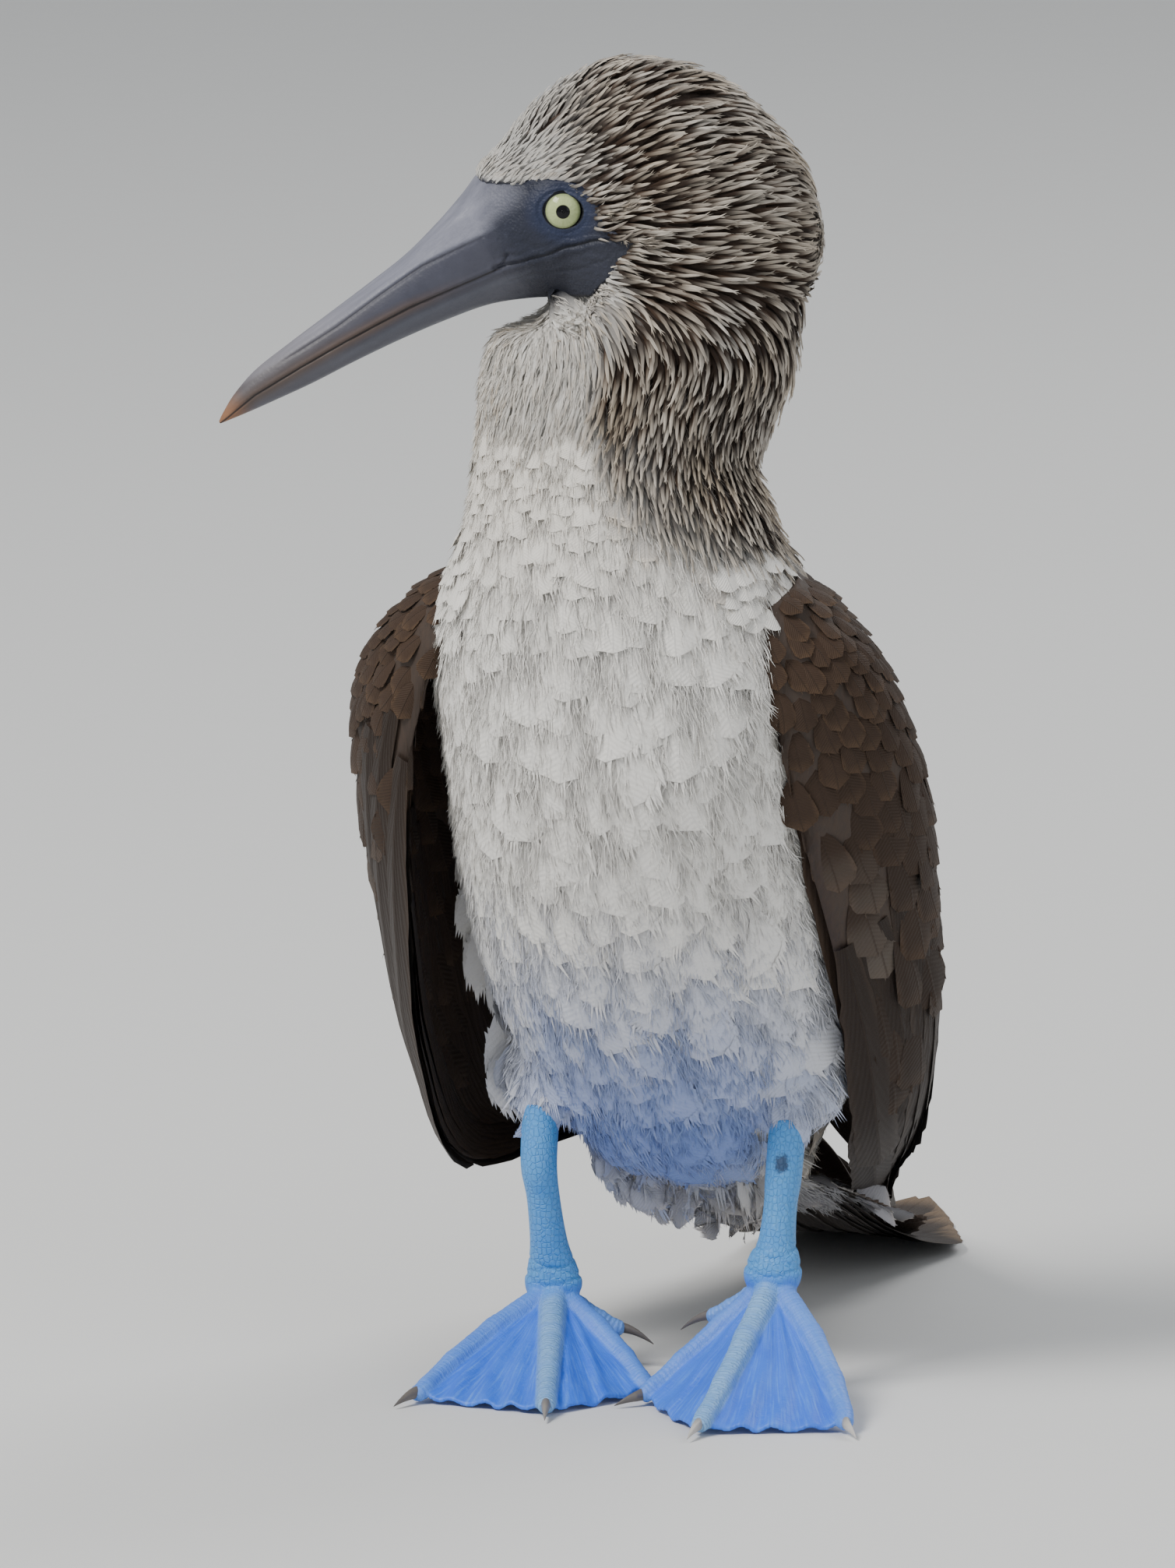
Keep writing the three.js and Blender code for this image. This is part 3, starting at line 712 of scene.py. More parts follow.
def skinPaint():
    paint = Paint("skin under the coat", Roughness=0.8)
    at = paint.place()
    brown = paint.attribute("brown")
    fine = paint.noise(at, 900, 3)
    colour = paint.mix(brown, colours["white"], colours["brown"])
    colour = paint.mix(fine * 0.35, colour, (0.1, 0.08, 0.07))
    colour = paint.mix(paint.attribute("bare"), colour, (0.016, 0.018, 0.03))
    return paint.finish(colour, 0.7 + fine * 0.2, fine, 0.0004)


skin = joinedCopies("body_skin", "head", "neck", "trunk", "thigh_left", "thigh_right")
skinPoints, skinNormals = remeshed(skin, skinSettings["voxel"], skinSettings["smoothing"])
skinPoints = skinPoints - skinNormals * coatDepth(skinPoints)[:, None]
left, forward, up = inHead(skinPoints)
widest = lerp(11, 60, ramp(outsideFace(skinPoints), -1.5, 3.5)) + 60 * (forward < -60)
up = up - 4.4 * ramp(forward, -16, -4) * ramp(-up, 15, 22) * (1 - ramp(-up, 36, 56))
skinPoints = fromHead(np.clip(left, -widest, widest), forward, up)
setPoints(skin.data, toWorld(skinPoints))
bare = 1 - ramp(outsideFace(skinPoints), -0.2, 1.4)
setAttributes(skin.data, brown=brownness(skinPoints, surfaceOf(skin.data)[1]), bare=bare)
skin.data.materials.append(skinPaint())
settle(skin, "white_feathers", "head", "neck", "trunk", "thigh_left", "thigh_right")
body = Surface(skin.data)
print("skin:", len(skin.data.polygons), "faces")


def roundTip(v):
    return max(0.05, math.sin(min(v, 1) * math.pi * 0.62) ** 0.7 * (1 - max(v - 0.72, 0) ** 1.6 * 3.6))


def featherPaint(name, shaded, roughness=0.78):
    paint = Paint(name, Roughness=roughness, Sheen_Weight=0.05, Specular_IOR_Level=0.16)
    at = paint.place()
    across, along = abs(paint.attribute("across")), paint.attribute("along")
    tint = paint.attribute("tint")
    barbs = (along * 95 - across * 26 + tint * 40).sine() * 0.5 + 0.5
    fine = paint.noise(at, 1500, 3, 0.6)
    colour = shaded(paint, across, along, tint, fine)
    shaft = paint.step(across, 0.07, 0.02)
    return paint.finish(colour, roughness + fine * 0.1, barbs * 0.35 + shaft * 0.6 + fine * 0.5, 0.00025)


def whiteShade(paint, across, along, tint, fine):
    # Painted shade: each white vane turns greyer towards its root, as if shadowed by the feathers over it
    colour = paint.mix(paint.step(along, 0.6, 0.0) * 0.4, colours["white"], colours["shadeGrey"])
    # Painted light and shade: a darker blue cast that stands for blue light from the feet and shadow low on
    # the body
    colour = paint.mix(paint.attribute("cool") * 0.9, colour, (0.15, 0.26, 0.58))
    colour = paint.mix(paint.attribute("cream") * 0.65, colour, colours["cream"])
    brownVane = paint.mix(paint.step(along, 0.62, 0.98), colours["brown"], colours["paleBrown"])
    brownVane = paint.mix(paint.step(along + fine * 0.12, 0.93, 1.02), brownVane, colours["buff"])
    # The brown share holds the brown markings, and on the vent and under the tail it also holds painted shade
    colour = paint.mix(paint.attribute("brown"), colour, brownVane)
    return paint.dimmed(colour, tint * 0.08 + fine * 0.12 + 0.84)


# Broad soft vanes of breast, belly, flanks, rump and mantle
breastSettings = {
    "spacing": 9.0,
    "length": 28,
    "width": 12.0,
    "lift": 2.1,
    "top": 304,  # height where they end
    "plumed": 258,  # height where the brown plumes begin
    "downSpacing": 2.1,
    "downLength": 8.4,
    "downWidth": 2.2,
    "downLift": (2.6, 3.8),
    "downTop": (316, 342),  # among plumes and elsewhere
}


def blueness(p):  # painted blue light reflected from the feet, and painted shade, low on the belly's front
    middle = 1 - 0.5 * ramp(np.abs(p[:, 0]), 26, 54)
    return ramp(178 - p[:, 2] + 16 * waves(p, 34, 77), 0, 108) * ramp(-p[:, 1], -45, 5) * middle


def onShank(p, level):  # below the edge of the leg's feathers, which is lower on the right
    return (p[:, 2] < level - 3 * (p[:, 0] < 0)) & (np.abs(p[:, 0]) > 26) & (p[:, 1] < 28)


# The brown markings, with painted shade on the vent: its white feathers get a brown share so that they look
# shadowed
def brownAndVentShade(p, normals, share):
    return np.maximum(brownness(p, normals), share * ramp(88 - p[:, 2], 0, 24) * ramp(p[:, 1], 14, 34))


def bodyCoat():
    maker = np.random.default_rng(41)
    chosen = breastSettings

    def scale(p):
        legs = ramp(108 - p[:, 2], 0, 20) * ramp(np.abs(p[:, 0]), 18, 28)
        neck = ramp(p[:, 2], 215, 300)
        vent = ramp(80 - p[:, 2], 0, 18) * ramp(p[:, 1], 10, 30)
        return (1 - 0.55 * neck) * (1 - 0.55 * legs) * (1 - 0.45 * vent)

    def spacing(p):
        return chosen["spacing"] * scale(p)

    def keep(p, normals):
        plumed = (p[:, 2] > chosen["plumed"]) & (brownness(p, normals) > 0.5)
        return ((p[:, 2] < chosen["top"]) & (outsideFace(p) > 2) & ~onShank(p, 87) & ~plumed).astype(float)

    roots, normals = body.scatter(spacing, keep, 11)
    size = scale(roots)
    length = chosen["length"] * size * maker.uniform(0.85, 1.15, len(roots))
    lift = chosen["lift"] * maker.uniform(0.8, 1.2, len(roots))
    laid = lay(body, roots, normals, coatFlow, length, lift, maker)
    vanes = several(4, vaneProto, "vane", 100, steps=6, outline=roundTip, fringe=34, reach=0.2)
    brown, cool = brownAndVentShade(roots, normals, 0.5), blueness(roots)
    cream = ramp(roots[:, 2], 240, 300) * 0.35 * (1 - brown)
    paint = featherPaint("body_feathers", whiteShade)
    width = chosen["width"] * size * maker.uniform(0.9, 1.1, len(roots))
    coat("body_coat", "white_feathers", laid, width, vanes, paint, maker,
         ruffle=1.5, ruffleScale=220, arch=0.3, brown=brown, cool=cool, cream=cream)
    return paint


# Down over the vanes that blurs their edges
def bodyDown(paint):
    maker = np.random.default_rng(42)
    chosen = breastSettings

    def spacing(p):
        return chosen["downSpacing"] * (1 - 0.25 * ramp(p[:, 2], 250, 300))

    def keep(p, normals):
        front = ramp(normals @ np.array([0, -0.86, 0.1]), -0.75, -0.35)
        top = np.where(brownness(p, normals) < 0.5, *reversed(chosen["downTop"]))
        return (p[:, 2] < top) * (outsideFace(p) > 2) * front * ~onShank(p, 85)

    roots, normals = body.scatter(spacing, keep, 13)
    size = 1 - 0.35 * ramp(roots[:, 2], 230, 300)
    lift = maker.uniform(*chosen["downLift"], len(roots)) * lerp(1, 0.85, ramp(roots[:, 2], 250, 300))
    length = chosen["downLength"] * size * maker.uniform(0.7, 1.3, len(roots))
    laid = lay(body, roots, normals, coatFlow, length, lift, maker, stray=0.2, sink=-1.2)
    wisps = several(4, wispProto, "wisp", 150, blades=4, spread=1.1, slim=0.07)
    brown = brownAndVentShade(roots, normals, 0.55)
    cream = ramp(roots[:, 2], 240, 300) * 0.3 * (1 - brown)
    coat("body_down", "white_feathers", laid, chosen["downWidth"] * size, wisps, paint, maker,
         ruffle=0.9, ruffleScale=300, arch=0.1, brown=brown * 0.8, cool=blueness(roots), cream=cream)


bodyDown(bodyCoat())


def plumeShade(paint, across, along, tint, fine):
    pale = paint.attribute("pale")
    tipColour = paint.mix(pale, colours["buff"], colours["white"])
    dark = paint.mix(tint, colours["darkBrown"], colours["brown"])
    base = paint.mix(paint.attribute("brown"), colours["white"], dark)
    share = paint.step(along + (tint - 0.5) * 0.3, 0.42, 0.98) * paint.step(across - along * 0.45, 0.46, 0.0)
    return paint.mix(share * paint.attribute("tipped"), base, tipColour)


# Narrow plumes of head and neck
plumeSettings = {"spacing": 2.0, "length": 12.5, "width": 0.98}


def headCoat():
    maker = np.random.default_rng(43)
    chosen = plumeSettings

    def size(p):
        _, forward, _ = inHead(p)
        small = ramp(forward, -30, 14) * ramp(p[:, 2], 330, 345)
        return lerp(1.0, 0.42, small) * lerp(1, 0.88, ramp(330 - p[:, 2], 0, 30))

    def spacing(p):
        return chosen["spacing"] * (0.35 + 0.65 * size(p)) * lerp(0.75, 1, ramp(outsideFace(p), 0, 4))

    def keep(p, normals):
        _, centre, _ = nearSpine(p)
        front = unit((p - centre) * (1, 1, 0)) @ throat
        low = (p[:, 2] > 262) & (brownness(p, normals) > 0.35)
        high = p[:, 2] > 286 + 16 * front + 5 * waves(p, 14, 34)
        throatEdge = -1.3 + 1.9 * (inHead(p)[2] < -20)
        crowded = lerp(0.65, 1, ramp(brownness(p, normals), 0.1, 0.45))
        return ((high | low) & (outsideFace(p) > throatEdge)) * crowded

    roots, normals = body.scatter(spacing, keep, 12)
    scale, brown = size(roots), brownness(roots, normals)
    length = chosen["length"] * scale * maker.uniform(0.85, 1.2, len(roots))
    lift = (0.7 + 3.3 * scale) * maker.uniform(0.6, 1.3, len(roots)) * lerp(0.45, 1, brown)
    laid = lay(body, roots, normals, coatFlow, length, lift, maker)
    plumes = several(3, plumeProto, "plume", 200, steps=4, fork=False)
    plumes += several(2, plumeProto, "forked_plume", 203, steps=4, fork=True)
    _, forward, up = inHead(roots)
    forehead = ramp(forward, -14, 18) * ramp(up, 6, 20)
    brown = brown * (1 - 0.45 * forehead)
    pale = np.clip(0.35 + 0.4 * waves(roots, 25, 31) + 0.5 * forehead, 0, 1)
    tipped = np.clip(maker.uniform(0.45, 1.05, len(roots)) + 0.3 * forehead, 0, 1)
    width = chosen["width"] * (0.45 + 0.55 * scale) * lerp(0.7, 1, brown)
    paint = featherPaint("head feathers", plumeShade)
    coat("head_neck_coat", "head_feathers", laid, width, plumes, paint, maker,
         ruffle=0.3, ruffleScale=350, arch=0.3, brown=brown, pale=pale, tipped=tipped)


headCoat()


# Face and bill: rings across the bill's axis, with lines along it and folds of skin in the side view
mouthLine = ((18, 25, 31, 53, 74, 90, 106, 119.5), (-3, -1.3, -0.6, 2.6, 4.05, 4.7, 4.9, 3.1))
nasalLine = ((18, 22, 43, 58, 74, 88, 100), (8.6, 9.1, 10.8, 10.1, 9.0, 8.9, 8.9))
gapeFold = [(20.2, -14.2), (13, -11.9), (6.9, -9.8), (-1, -7), (-9.7, -4.2), (-21.5, -2.9)]
lowerFold = [(19, -19), (10, -16.5), (1, -14.5), (-7, -13), (-14, -9)]
mouthCorner = [(20.4, -14.2), (17.6, -12.6), (16.4, -9.6)]
faceSettings = {
    "ringStep": 0.42,
    "faceSides": 300,
    "billSides": 150,
    "skinRange": (-22, 24),
    "hornStart": 23,
    "hornEnd": 119.45,
    "lidRadius": 5.75,
    "lidSide": 21.35,
}


def onBill(along, above, left):
    c, s = math.cos(math.radians(stance["billPitch"])), math.sin(math.radians(stance["billPitch"]))
    return left, along * c + above * s, above * c - along * s


def lineDistance(line, x, y):  # signed: above the line it is positive
    best, sign = np.full(x.shape, 1e9), np.ones(x.shape)
    for (ax, ay), (bx, by) in zip(line, line[1:]):
        dx, dy = bx - ax, by - ay
        u = np.clip(((x - ax) * dx + (y - ay) * dy) / (dx * dx + dy * dy), 0, 1)
        far = np.hypot(x - ax - u * dx, y - ay - u * dy)
        nearer = far < best
        best = np.where(nearer, far, best)
        sign = np.where(nearer, np.sign(dy * (x - ax) - dx * (y - ay)), sign)
    return best * sign


def skullHalf(forward, up):
    rows = np.array(skullRows, float)
    top, bottom, half = (np.interp(forward, rows[:, 0], rows[:, k]) for k in (1, 2, 3))
    level, tall = (top + bottom) / 2, (top - bottom) / 2
    return half * np.sqrt(np.clip(1 - ((up - level) / tall) ** 2, 0, 1)) * ramp(-forward, -24, -8)


def faceLoft(start, end, sides, horn):  # its open end has three rings close together for a crisp edge
    rings = int((end - start) / faceSettings["ringStep"]) + 1
    fine = smoothRows(faceRows, np.linspace(0, 1, 800))
    along = np.linspace(start, end, rings)
    if horn:
        along = start + (end - start) * (1 - (1 - np.linspace(0, 1, rings)) ** 1.06)
        along[1:3] = start + 0.002, start + 0.03
    else:
        along[-3:] = end - 0.03, end - 0.002, end
    above, below, half = (np.interp(along, fine[:, 0], fine[:, k]) for k in (1, 2, 3))
    angle = np.linspace(0, 2 * math.pi, sides, endpoint=False)[None, :]
    level, tall = ((above + below) / 2)[:, None], ((above - below) / 2)[:, None]
    w = level + tall * np.cos(angle)
    x = half[:, None] * np.sin(angle) * (1 - 0.06 * np.cos(2 * angle))
    along = np.broadcast_to(along[:, None], w.shape)
    return (*onBill(along, w, x), along, w, np.abs(np.sin(angle)) + 0 * w)


def groove(x, middle, width):
    return np.exp(-((x - middle) / width) ** 2)


def faceShape(left, forward, up, along, w, sideways):
    sign = np.sign(left + 1e-9)
    x = np.abs(left)
    flat = fromHead(left.ravel(), forward.ravel(), up.ravel())
    bare = outsideFace(flat).reshape(x.shape)
    skull = skullHalf(forward, up)
    blend = 2.5
    joined = 0.5 * (x + skull + np.sqrt((x - skull) ** 2 + blend * blend)) - 0.35
    under = np.minimum(x, np.maximum(skull - 2.2, 0.4 * x))
    facing = ramp(x, 2, 9)
    shaped = lerp(lerp(joined, under, ramp(bare, 1.2, 3.5)), x, ramp(forward, 12, 24))
    x = lerp(x, np.where(forward > 24, x, shaped), facing)
    # Lids round the eye, and the pit that the eyeball fills
    away = np.hypot(forward, (up - stance["eyeRise"]) * (1.13 + 0.1 * (up > stance["eyeRise"])))
    rim, lid = faceSettings["lidRadius"], faceSettings["lidSide"]
    mound = (1 - ramp(away, rim + 0.9, rim + 6.5)) * ramp(x, 8, 14)
    x = lerp(x, np.maximum(x, lid), mound)
    x -= 0.42 * groove(away, rim + 1.7, 0.45) * facing * (1 + 0.5 * np.sin(np.arctan2(up, forward) * 2))
    x -= 0.2 * groove(away, rim + 3.3, 0.5) * facing
    x = np.where(away < rim, np.minimum(x, lid - 6.5 * ramp(rim - away, 0, 0.6)), x)
    # Folds of the skin
    spots = np.stack([forward, up, 0 * up], -1).reshape(-1, 3)
    wavy = waves(spots, 9, 301).reshape(x.shape)
    gape = lineDistance(gapeFold, forward, up + 0.5 * wavy)
    lower = lineDistance(lowerFold, forward, up + 0.8 * wavy)
    onFace = (1 - ramp(forward, 17, 25)) * facing * ramp(away, rim + 1, rim + 3)
    lips = 0.35 * groove(gape, -1.3, 0.9) + 0.25 * groove(gape, 1.2, 0.8)
    creases = np.sin(gape * 2.1 + wavy * 3) * groove(gape, 0, 7) * 0.12
    scaly = waves(spots, 2.6, 302).reshape(x.shape) * 0.16
    x += (lips + creases + scaly - 0.75 * groove(gape, 0, 0.42) - 0.3 * groove(lower, 0, 0.5)) * onFace
    x -= 0.9 * groove(lineDistance(mouthCorner, forward, up), 0, 0.4) * facing
    # The horn's grooves
    mouth = w - np.interp(along, *mouthLine)
    nasal = w - np.interp(along, *nasalLine)
    horn = ramp(along, 19, 27) * (1 - ramp(along, 112, 117))
    narrow = np.clip(x / 8, 0.4, 1)
    depth = 0.75 * groove(mouth, -0.15, 0.34) - 0.3 * groove(mouth, 0.75, 0.5)
    x -= depth * horn * ramp(sideways, 0.4, 0.7) * narrow
    shoulder = 0.5 * groove(nasal, -0.1, 0.4) - 0.3 * groove(nasal, 1.2, 0.9)
    x -= shoulder * horn * (1 - ramp(along, 86, 98)) * narrow * ramp(sideways, 0.3, 0.5)
    x -= 0.22 * groove(mouth, -3.4, 0.8) * horn * (1 - ramp(along, 70, 90)) * narrow
    x = x + np.where(x > 3, 0.08 * groove(along, faceSettings["hornStart"], 0.5), 0)
    left = sign * np.where(sideways < 1e-3, 0, np.maximum(x, 0.02))
    return left, {"alongBill": along, "mouth": mouth, "nasal": nasal, "gape": gape, "eyeAway": away}


def hornAndSkinPaint(name, horn):
    paint = Paint(name, Roughness=0.45, Specular_IOR_Level=0.35)
    at = paint.place()
    along, mouth, nasal = paint.attribute("alongBill"), paint.attribute("mouth"), paint.attribute("nasal")
    gape, away = paint.attribute("gape"), paint.attribute("eyeAway")
    flow = paint.attribute("billPlace", "Vector")
    streaks = paint.noise(paint.stretch(flow, (14, 260, 260)), 1, 5, 0.65)
    blotches = paint.noise(at, 95, 4, 0.6)
    grain = paint.noise(at, 700, 3, 0.6)
    # Horn: paler culmen, slate sides, brown by the mouth, warm tip
    slate = paint.mix(blotches, (0.028, 0.029, 0.044), (0.070, 0.073, 0.100))
    culmen = paint.mix(streaks, (0.075, 0.08, 0.115), (0.30, 0.305, 0.36))
    colour = paint.mix(paint.step(nasal + (streaks - 0.5) * 1.6, -0.4, 1.3), slate, culmen)
    worn = paint.mix(streaks, (0.10, 0.085, 0.08), (0.19, 0.17, 0.165))
    earthy = paint.mix(streaks, (0.035, 0.022, 0.017), (0.13, 0.085, 0.06))
    ashen = paint.mix(streaks, (0.06, 0.064, 0.082), (0.15, 0.16, 0.195))
    warm = paint.mix(streaks, (0.20, 0.085, 0.04), (0.36, 0.19, 0.10))
    mouthGroove = paint.step(abs(mouth + 0.15), 0.42, 0.12) * paint.step(along, 21, 26)
    nasalGroove = paint.step(abs(nasal + 0.1), 0.42, 0.1) * paint.step(along, 92, 82)
    nasalGroove = nasalGroove * paint.step(along, 20, 30)
    colour = paint.layered(
        colour,
        (paint.step(along, 46, 112) * 0.55, worn),
        (paint.step(abs(mouth), 3.4, 0.4) * paint.step(along, 26, 62) * 0.75, earthy),
        (paint.step(mouth, -1.6, -4.5) * 0.55, ashen),
        (paint.step(streaks, 0.62, 0.78) * 0.35, (0.33, 0.33, 0.37)),
        (paint.step(along + (blotches - 0.5) * 5, 107, 117) * 0.85, warm),
        (mouthGroove * 0.85, (0.012, 0.01, 0.011)),
        (nasalGroove * 0.55, (0.03, 0.03, 0.04)),
    )
    # Skin: navy, bluer by the eye, with a dark line in each fold
    skinColour = paint.layered(
        paint.mix(blotches, (0.007, 0.009, 0.018), (0.022, 0.026, 0.046)),
        (paint.step(away + (blotches - 0.5) * 5, 13.5, 6.5) * 0.75, (0.016, 0.025, 0.064)),
        (paint.step(gape, 0.5, -4) * 0.35, (0.030, 0.032, 0.043)),
        (paint.step(abs(gape), 0.55, 0.1) * 0.75, (0.010, 0.011, 0.016)),
        (paint.step(grain, 0.55, 0.75) * 0.35, (0.040, 0.048, 0.075)),
        (paint.step(away, 6.35, 5.95), (0.008, 0.009, 0.013)),
        (paint.step(nasal, 0.5, 7) * paint.step(along, 2, 12) * 0.6, culmen),
    )
    share = paint.step(along + (blotches - 0.5) * 9 + nasal.atLeast(0) * 0.5, 14.5, 26)
    colour = paint.mix(share, skinColour, colour)
    pores = paint.cells(at, 1250)
    height = grain * 0.5 + streaks * 0.5 + pores * (1 - share) * 0.55
    return paint.finish(colour, 0.36 + grain * 0.18 + (1 - share) * 0.12, height, 0.00022 if horn else 0.0003)


# The faces of closed rings and their end points, which come last
def loftFaces(rings, sides, points):
    faces = gridFaces(rings, sides, True).tolist()
    centres = [points[:sides].mean(0), points[-sides:].mean(0)]
    first, last = len(points), len(points) + 1
    faces += [(first, j, (j + 1) % sides) for j in range(sides)]
    base = (rings - 1) * sides
    faces += [(last, base + (j + 1) % sides, base + j) for j in range(sides)]
    return np.concatenate([points, centres]), faces


def turnedOut(points, faces):  # the faces, all turned if they look inwards
    points = np.asarray(points)
    volume = 0.0
    for face in faces:
        a, b, c = points[face[0]], points[face[1]], points[face[2]]
        volume += np.dot(a, np.cross(b, c))
        if len(face) == 4:
            volume += np.dot(a, np.cross(c, points[face[3]]))
    return faces if volume > 0 else [face[::-1] for face in faces]


def facePiece(name, slotName, start, end, sides, horn, *replaced):
    left, forward, up, along, w, sideways = faceLoft(start, end, sides, horn)
    left, facts = faceShape(left, forward, up, along, w, sideways)
    rings = along.shape[0]
    flat = fromHead(left.ravel(), forward.ravel(), up.ravel())
    solid, faces = loftFaces(rings, sides, flat)
    edge = slice(0, sides) if horn else slice((rings - 1) * sides, rings * sides)
    solid[edge] = lerp(solid[-2 if horn else -1], solid[edge], 0.9)
    faces = turnedOut(solid, faces)
    mesh = makeMesh(name, toWorld(solid), faces)

    def spread(values):
        values = values.reshape(rings * sides, -1)
        return np.concatenate([values, values[:1], values[-1:]]).squeeze()

    facts["billPlace"] = np.stack([along, w, left], -1) / 1000
    setAttributes(mesh, **{key: spread(values) for key, values in facts.items()})
    settle(makeObject(name, mesh, hornAndSkinPaint(name, horn)), slotName, *replaced)


facePiece("face_skin", "head_feathers", *faceSettings["skinRange"], faceSettings["faceSides"], False)
facePiece("bill", "bill_horn", faceSettings["hornStart"] + 0.2, faceSettings["hornEnd"],
          faceSettings["billSides"], True, "bill_upper", "bill_lower")
print("face and bill done")

# Eyes: a glossy ball each, with its colours in rings round the way that it looks
eyeSettings = {"iris": 5.0, "pupil": 2.05, "bulge": 0.035}


def eyePaint():
    chosen = eyeSettings
    paint = Paint("eye_gloss", Roughness=0.12, Coat_Weight=0.22, Coat_Roughness=0.02, Specular_IOR_Level=0.1)
    away, turn = paint.attribute("eyeAway"), paint.attribute("eyeTurn", "Vector")
    at = paint.place()
    rays = paint.noise(turn, 5.5, 4, 0.75)
    mottle = paint.noise(at, 1900, 3, 0.6)
    pupil, iris = chosen["pupil"], chosen["iris"]
    colour = paint.layered(
        paint.mix(rays, (0.27, 0.34, 0.13), (0.56, 0.62, 0.34)),
        (paint.step(mottle, 0.5, 0.72) * 0.35, (0.28, 0.36, 0.15)),
        (paint.step(away, 2.9, 1.9) * 0.5, (0.40, 0.44, 0.22)),
        (paint.step(away, 4.2, 4.95) * 0.6, (0.20, 0.24, 0.12)),
        (paint.step(away, pupil + 0.14, pupil - 0.08), (0.004, 0.004, 0.005)),
        (paint.step(away, iris - 0.05, iris + 0.3), (0.006, 0.007, 0.009)),
    )
    return paint.finish(colour, 0.1 + mottle * 0.06)


def eye(side):
    name = "eye_left" if side > 0 else "eye_right"
    rings, around = 72, 96
    radius = stance["eyeRadius"]
    theta = np.linspace(0.0, math.pi, rings)[1:-1, None]
    phi = np.linspace(0, 2 * math.pi, around, endpoint=False)[None, :]
    bulge = 1 + eyeSettings["bulge"] * np.exp(-(theta / 0.55) ** 2)
    x = stance["eyeSide"] + radius * np.cos(theta) * bulge + 0 * phi
    forward = radius * np.sin(theta) * np.cos(phi)
    up = stance["eyeRise"] + radius * np.sin(theta) * np.sin(phi)
    points = fromHead(side * x.ravel(), forward.ravel(), up.ravel())
    solid, faces = loftFaces(rings - 2, around, points)
    poles = stance["eyeSide"] + radius * np.array([1 + eyeSettings["bulge"], -1])
    solid[-2:] = fromHead(side * poles, np.zeros(2), np.full(2, stance["eyeRise"]))
    mesh = makeMesh(name, toWorld(solid), turnedOut(solid, faces))
    hidden = 9  # stands for the back of the ball
    away = np.where(theta < math.pi / 2, radius * np.sin(theta), hidden).repeat(around, 1).ravel()
    turn = np.stack(np.broadcast_arrays(np.cos(phi), np.sin(phi), 0.35 * theta), -1).reshape(-1, 3)
    turn = np.concatenate([turn, turn[:1], turn[-1:]])
    setAttributes(mesh, eyeAway=np.concatenate([away, [0, hidden]]), eyeTurn=turn)
    settle(makeObject(name + "_ball", mesh, eyePaint()), "eye", name)


eye(1)
eye(-1)


# Wings: a point of the folded wing's outer face, its outward and its two ways along and across
def wingFrame(name, t, q):
    t, q = np.broadcast_arrays(np.asarray(t, float), np.asarray(q, float))

    def at(t, q):
        rows = smoothRows(wingRows[name], t)
        lower, outer, upper = rows[:, 0:3], rows[:, 3:6], rows[:, 6:9]
        q = np.clip(q, 0, 1)[:, None]
        return (1 - q) ** 2 * lower + 2 * q * (1 - q) * (2 * outer - (lower + upper) / 2) + q * q * upper

    flip = np.array([sides[name], 1, 1])
    along = (at(t + 0.02, q) - at(t - 0.02, q)) * flip
    across = (at(t, q + 0.05) - at(t, q - 0.05)) * flip
    out = unit(np.cross(along, across)) * sides[name]
    return at(t, q) * flip, out, along / 0.04, across


def wingDepth(name, t, q):  # how thick the solid is there
    thick = smoothRows(wingRows[name], t)[:, 9]
    return 1.6 + (thick - 1.6) * np.sin(math.pi * np.clip(q, 0, 1)) ** 0.6


wingSettings = {
    "inset": 1.9,  # how far the blade's skin lies inside the solid's outer face
    "covert": (11, 36),  # lengths from the wrist down
    "spacing": 0.4,  # of a covert's length
    "width": 0.33,  # of its length, for half of it
    "lift": 1.9,
}


def wingBlade(name):
    chosen = wingSettings
    steps, across = 90, 22
    t, q = np.meshgrid(np.linspace(0, 1, steps), np.linspace(0, 1, across), indexing="ij")
    t, q = t.ravel(), q.ravel()
    p, out, _, _ = wingFrame(name, t, q)
    depth = wingDepth(name, t, q)
    outer = p + out * (0.8 - chosen["inset"])
    inner = p + out * np.minimum(0.8 - depth + chosen["inset"] * 0.7, -chosen["inset"] + 0.2)[:, None]
    outer, inner = outer.reshape(steps, across, 3), inner.reshape(steps, across, 3)
    loops = np.concatenate([outer, inner[:, ::-1]], 1)
    ring = loops.shape[1]
    points = np.concatenate([loops.reshape(-1, 3), loops[0].mean(0)[None], loops[-1].mean(0)[None]])
    faces = gridFaces(steps, ring, True).tolist()
    first, last = steps * ring, steps * ring + 1
    faces += [(first, (j + 1) % ring, j) for j in range(ring)]
    faces += [(last, (steps - 1) * ring + j, (steps - 1) * ring + (j + 1) % ring) for j in range(ring)]
    faces = turnedOut(points, faces)
    paint = Paint(f"wing_blade_{name}", Roughness=0.7)
    at = paint.place()
    fine = paint.noise(paint.stretch(at, (1, 1, 0.3)), 700, 3)
    colour = paint.mix(fine, colours["darkBrown"], colours["brown"])
    piece = f"wing_{name}_blade"
    thing = makeObject(piece, makeMesh(piece, toWorld(points), faces),
                       paint.finish(colour, 0.6 + fine * 0.2, fine, 0.0003))
    return settle(thing, "wing_feathers", f"wing_{name}_coverts", f"wing_{name}_flight")


